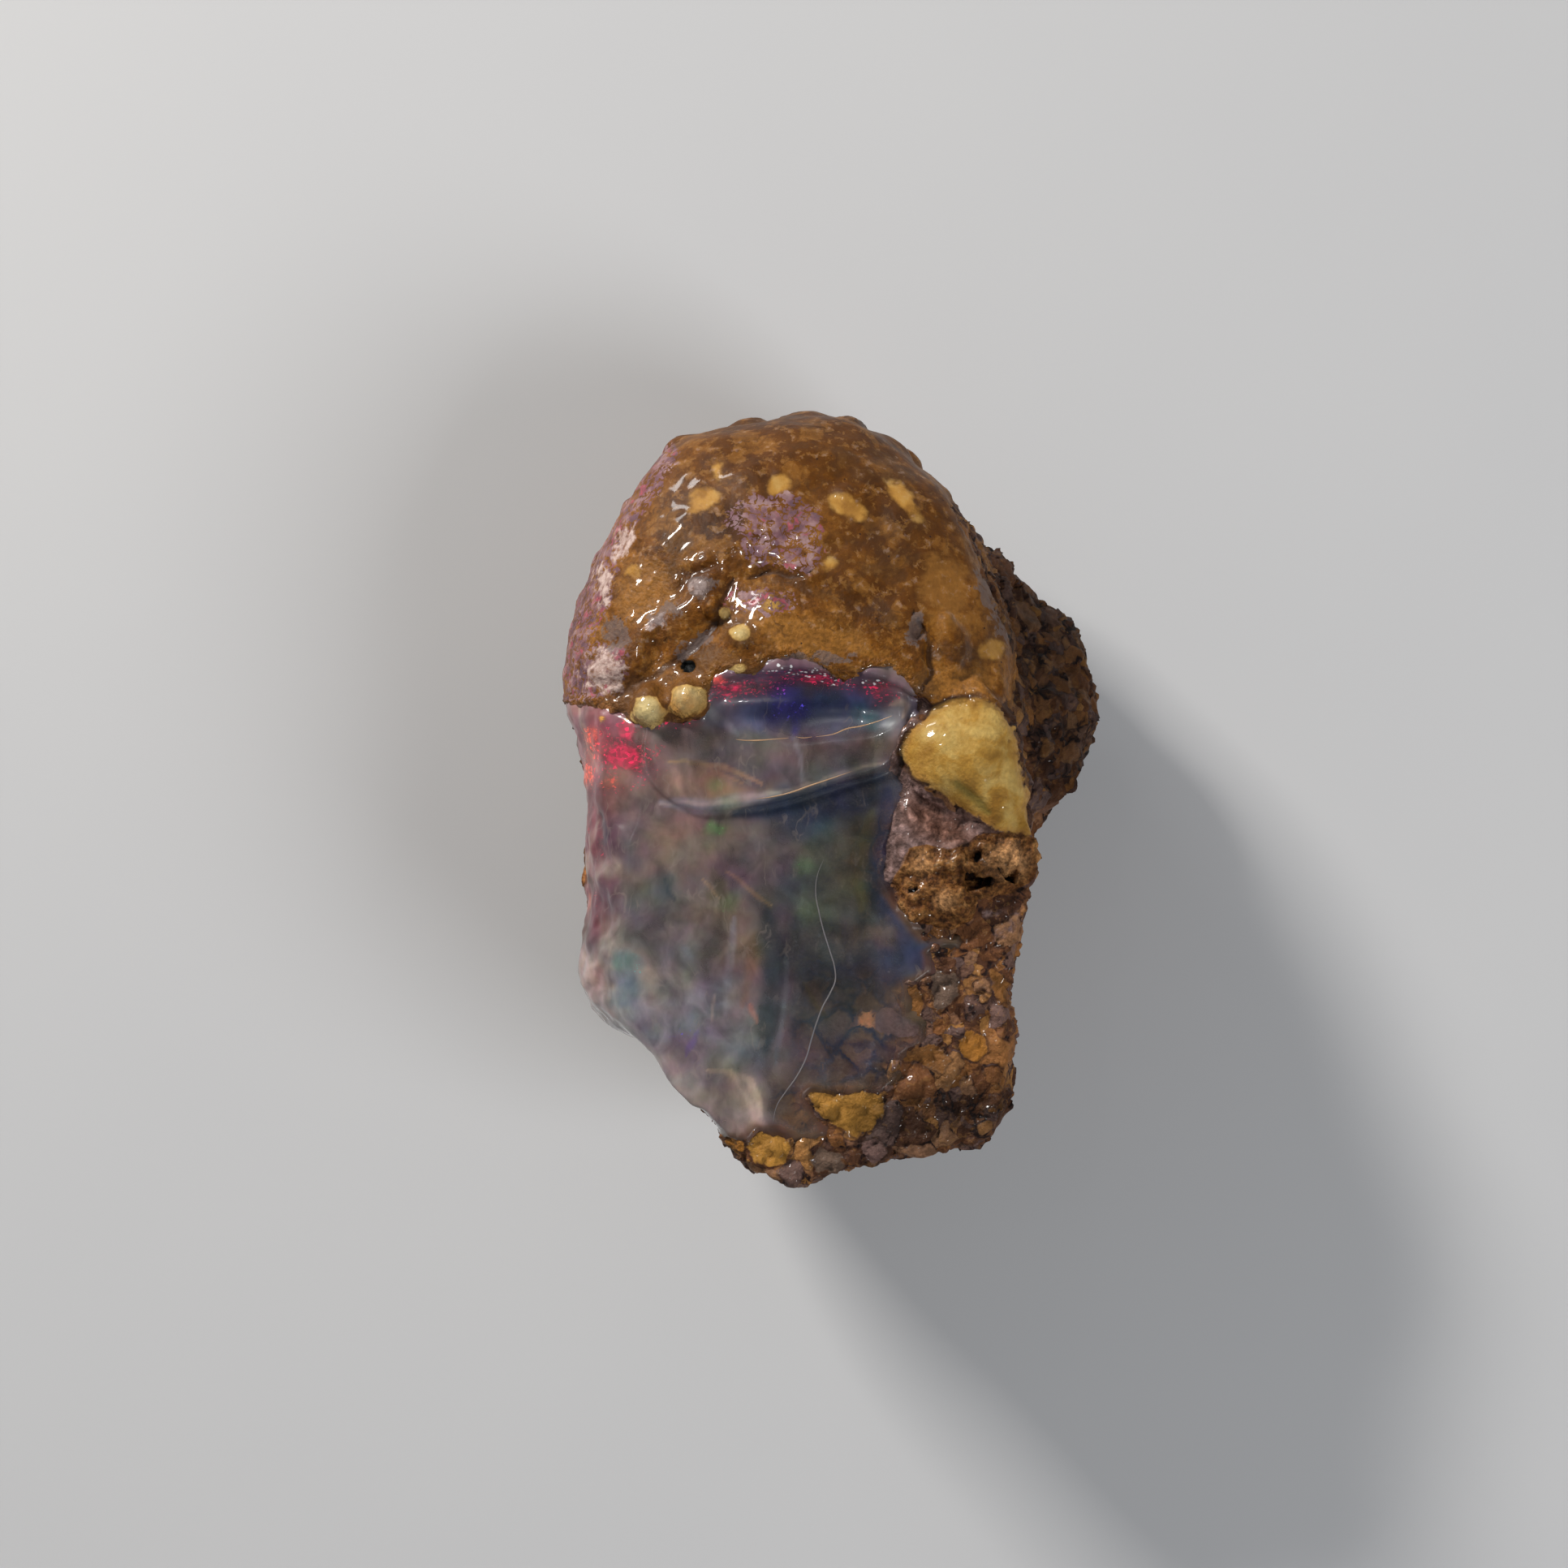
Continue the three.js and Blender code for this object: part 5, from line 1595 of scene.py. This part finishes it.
# %% Host rock: mauve rim and knob
mauve_tone = scale_of(
    mottle * 0.6 + chips * 0.4, (0.1, (0.060, 0.034, 0.028)), (0.5, (0.125, 0.074, 0.064)),
    (0.9, (0.215, 0.140, 0.128)),
)
mauve_tone = tinted(field("dark_knob") * 0.8, mauve_tone, mauve_tone * (0.85, 0.62, 0.45))
mauve_tone = mauve_tone * (1.0 + beads_on(place) * 0.65)
mauve_share = (field("mauve") + (mottle - 0.5) * 0.25).above(0.4, 0.6)
colour = tinted(mauve_share, colour, mauve_tone * (0.6 + grit * 0.4 + chips * 0.4))
knob_tone = scale_of(
    chips * 0.5 + mottled(place, 1.6, 4, 0.6) * 0.5, (0.12, (0.030, 0.012, 0.005)),
    (0.32, (0.095, 0.037, 0.011)), (0.6, (0.165, 0.072, 0.020)), (0.92, (0.29, 0.150, 0.052)),
)
knob_tone = tinted(field("pale_knob") * (0.3 + mottle * 0.6), knob_tone, (0.43, 0.235, 0.10))
knob_tone = knob_tone * (1.12 - field("dark_knob") * 0.45)
pierced = (field("hole") + (chips - 0.5) * 0.4).above(0.35, 0.7)
knob_tone = tinted(pierced, knob_tone, (0.008, 0.004, 0.003))
knob_share = (field("porous") + (mottle - 0.5) * 0.3).above(0.4, 0.6)
colour = tinted(knob_share, colour, knob_tone * (0.92, 0.87, 0.85) * (0.48 + grit * 1.0))
print("rim and knob laid up:", len(Wire.tree.nodes), "nodes")

# %% Host rock: yellow clay and cream nodules
clay_tone = scale_of(
    mottled(place * (1.0, 1.0, 0.6), 2.6, 4, 0.55, 0.5), (0.0, (0.25, 0.120, 0.018)),
    (0.45, (0.37, 0.200, 0.036)), (1.0, (0.48, 0.32, 0.095)),
)
clay_line = field("clay_line")
clay = field("clay") + (mottle - 0.5) * 0.12 + (chips - 0.5) * (1 - clay_line) * 0.35
colour = tinted(clay.above(-0.35, 0.0) * (0.15 + clay_line * 0.85), colour, (0.045, 0.020, 0.010))
pocks = dots(bent(place, 0.8, 0.2), 1.1, 0.08, 0.20) * mottled(place, 2.0).above(0.6, 0.9)
clay_tone = layered(
    clay_tone,
    (field("slit") * 0.9, (0.20, 0.140, 0.030)),
    ((1 - clay.above(0.2, 1.0)) * 0.45, (0.34, 0.165, 0.045)),
    (pocks * 0.7, (0.20, 0.095, 0.022)),
)
colour = tinted(clay.above(0.0, 0.35), colour, clay_tone * (0.86 + grit * 0.12 + chips * 0.20))
cream = field("cream") + uneven * 0.4 - field("drape") * 0.9
colour = tinted(cream.above(-0.6, 0.0) * 0.6, colour, (0.10, 0.042, 0.012))
cream_tone = scale_of(
    cream, (0.0, (0.28, 0.140, 0.028)), (0.2, (0.44, 0.28, 0.090)), (0.9, (0.54, 0.41, 0.18)),
)
cream_tone = tinted(field("tan") * (0.3 + mottle * 0.5), cream_tone, (0.46, 0.20, 0.040))
cream_share = cream.above(0.0, 0.16)
colour = layered(
    colour,
    (cream_share, cream_tone * (0.70 + grit * 0.2 + mottle * 0.4)),
    (field("drape") * (1 - cream_share) * 0.6, (0.13, 0.055, 0.016)),
    (field("pit").above(0.3, 0.6), (0.004, 0.005, 0.005)),
)
print("clay and nodules laid up:", len(Wire.tree.nodes), "nodes")

# %% [markdown]
# ## The bed, the wetness and the grain
#
# Under the opal the rock is seen in blocks, and farther down only as drifting blue and tan shades. The
# stone was photographed wet. Water stands on the smooth crust, on the nodules and along the opal's rim,
# and it has sunk into the broken faces. One even coat would look like varnish, so the coat's weight
# follows the regions, and it is low on steep sides, in hollows and on grey patches. Grain that is finer
# than the mesh is left to a bump.

# %% Host rock: the bed, the wetness and the fine bumps
block_tone, block_joint = blocks(place)
block_colour = scale_of(
    block_tone, (0.0, (0.115, 0.075, 0.055)), (0.3, (0.20, 0.105, 0.050)), (0.55, (0.095, 0.080, 0.080)),
    (0.8, (0.26, 0.135, 0.050)), (1.0, (0.14, 0.10, 0.085)),
)
block_colour = tinted(1 - block_joint.above(0.0, 0.5), block_colour, (0.030, 0.038, 0.065))
block_colour = block_colour * (0.75 + mottle * 0.5)
deep_tone = scale_of(
    mottled(place, 3.4, 4, 0.55, 0.6), (0.0, (0.040, 0.062, 0.120)), (0.5, (0.15, 0.140, 0.100)),
    (1.0, (0.32, 0.24, 0.14)),
)
# The bed is painted brighter than the rock outside, 1.6 times and its named fragments 1.4 times: painted
# light for the light the opal holds back.
bed_tone = layered(
    breccia * 1.6,
    (sunk.above(0.15, 0.6), block_colour),
    (sunk.above(2.0, 5.0), deep_tone),
    (named * (1 - sunk.above(2.0, 3.0)), named_tone * 1.4),
)
colour = tinted(sunk.above(0.02, 0.15), colour, bed_tone)
bare = (1 - crust_share) * (1 - clay.above(0.0, 0.35)) * (1 - cream_share)
edge = field("edge")
bump_height = grit * (0.08 + bare * 0.2 + sandy * 0.3 + edge * 1.2) + chips * (0.25 + bare * 0.8)
wetness = 0.42 - bare * 0.24 + edge * 0.4 + cream.above(0.0, 0.3) * 0.4 - field("pit") * 0.5
wetness = wetness * (1 - field("steep") * 0.75) * (1 - field("hollow") * 0.5) * (1 - grey_share * 0.7)
bump = Wire.make("ShaderNodeBump", {}, {"Strength": 0.5, "Distance": 0.20 * MM, "Height": bump_height})
rock_shader = shader(
    Base_Color=colour, Roughness=0.52 + bare * 0.13, Specular_IOR_Level=0.12,
    Coat_Weight=wetness, Coat_Roughness=0.07, Normal=bump,
)
close_finish(rock, rock_finish, rock_shader)

# %% [markdown]
# ## The healed crack and the painted golden glints
#
# An old crack in the window has healed as a fine whitish line, and the golden glints along the edges of the
# raised shell are painted glints, laid as golden threads. Kept at the points of the skin they would be as
# coarse as its faces. So they are thin closed threads: a curve gets one point after another, as one would
# click them in, each seated on the skin by a ray from above, and its bevel makes it round. It thins out
# towards both ends.

# %% A thin thread on the skin
OVER_THE_STONE = 60
THREAD_SEAT = 0.3


def thread_piece(name, line, radius, tint, tail):
    """A thin round thread along a line of places on the opal's skin, its ends thinned out by tail."""
    bpy.ops.object.select_all(action="DESELECT")
    bpy.ops.curve.primitive_bezier_curve_add(location=(0, 0, 0))
    piece = bpy.context.object
    piece.name = name
    bpy.ops.object.mode_set(mode="EDIT")
    bpy.ops.curve.select_all(action="SELECT")
    bpy.ops.curve.delete(type="VERT")
    for x, y in line:
        _, hit, _, _ = opal.ray_cast(Vector((x, y, OVER_THE_STONE)) * MM, Vector((0, 0, -1)))
        bpy.ops.curve.vertex_add(location=hit - Vector((0, 0, THREAD_SEAT * radius * MM)))
    bpy.ops.curve.select_all(action="SELECT")
    bpy.ops.curve.handle_type_set(type="AUTOMATIC")
    bpy.ops.object.mode_set(mode="OBJECT")
    for number, point in enumerate(piece.data.splines[0].bezier_points):
        from_end = min(number, len(line) - 1 - number)
        point.radius = min(1.0, 0.3 + from_end * tail)
    piece.data.bevel_depth = radius * MM
    piece.data.bevel_resolution = 2
    piece.data.use_fill_caps = True
    bpy.ops.object.convert(target="MESH")
    bpy.ops.object.shade_smooth()
    finish = new_finish(name)
    shade = tinted(cloud(own_place(), 0.8, 4), [part * 0.6 for part in tint], tint)
    close_finish(piece, finish, shader(Base_Color=shade, Roughness=0.4, IOR=OPAL_INDEX, Coat_Weight=0.6))
    print(name, "has", len(piece.data.polygons), "faces")
    return piece


print("threads can be laid")

# %% The healed crack and the painted golden glints
CRACK_RADIUS = 0.060
GLINT_THREAD_RADIUS = 0.07
CRACK_TINT = (0.22, 0.20, 0.205)
# The gold of these threads is a painted glint along the edges of the raised shell.
GLINT_GOLD_TINT = (0.55, 0.33, 0.18)
HEALED_CRACK = [
    (-0.8, -5.3), (-1.4, -6.9), (-1.5, -8.3), (-1.2, -10.0), (-0.8, -11.6), (-0.3, -13.2), (0.1, -14.6),
    (0.15, -15.7), (-0.25, -16.7), (-0.9, -17.9), (-1.4, -19.2), (-1.9, -20.8), (-2.3, -22.2),
    (-3.1, -23.8), (-4.1, -25.2), (-4.8, -26.3), (-5.2, -28.0),
]
SHELL_GLINT_LINES = [
    [(-8.4, 4.8), (-7.5, 4.7), (-6.3, 4.7), (-5.0, 4.8), (-3.8, 4.9)],
    [(-3.2, 5.0), (-2.6, 4.9), (-1.8, 5.0)],
    [(-1.5, 5.0), (-0.1, 5.2), (1.2, 5.7), (2.3, 5.9), (3.7, 6.3), (5.0, 6.8)],
    [(-7.0, -0.3), (-5.3, -0.1), (-3.6, 0.3), (-1.9, 0.9), (0.2, 1.6), (1.6, 2.1)],
]
threads = [thread_piece("healed_crack", HEALED_CRACK, CRACK_RADIUS, CRACK_TINT, 0.20)]
for number, line in enumerate(SHELL_GLINT_LINES):
    threads.append(thread_piece(f"golden_glint_thread_{number}", line, GLINT_THREAD_RADIUS, GLINT_GOLD_TINT, 0.4))

# %% [markdown]
# ## Riding on the body
#
# Every piece rides on the stone's one body, and the imported stone is hidden, so the pieces stand for it.

# %% Ride and replace
for piece, slot_name in [(rock, "host_rock"), (opal, "opal")] + [(thread, "opal") for thread in threads]:
    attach(piece, "root")
    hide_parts("opal_stone")
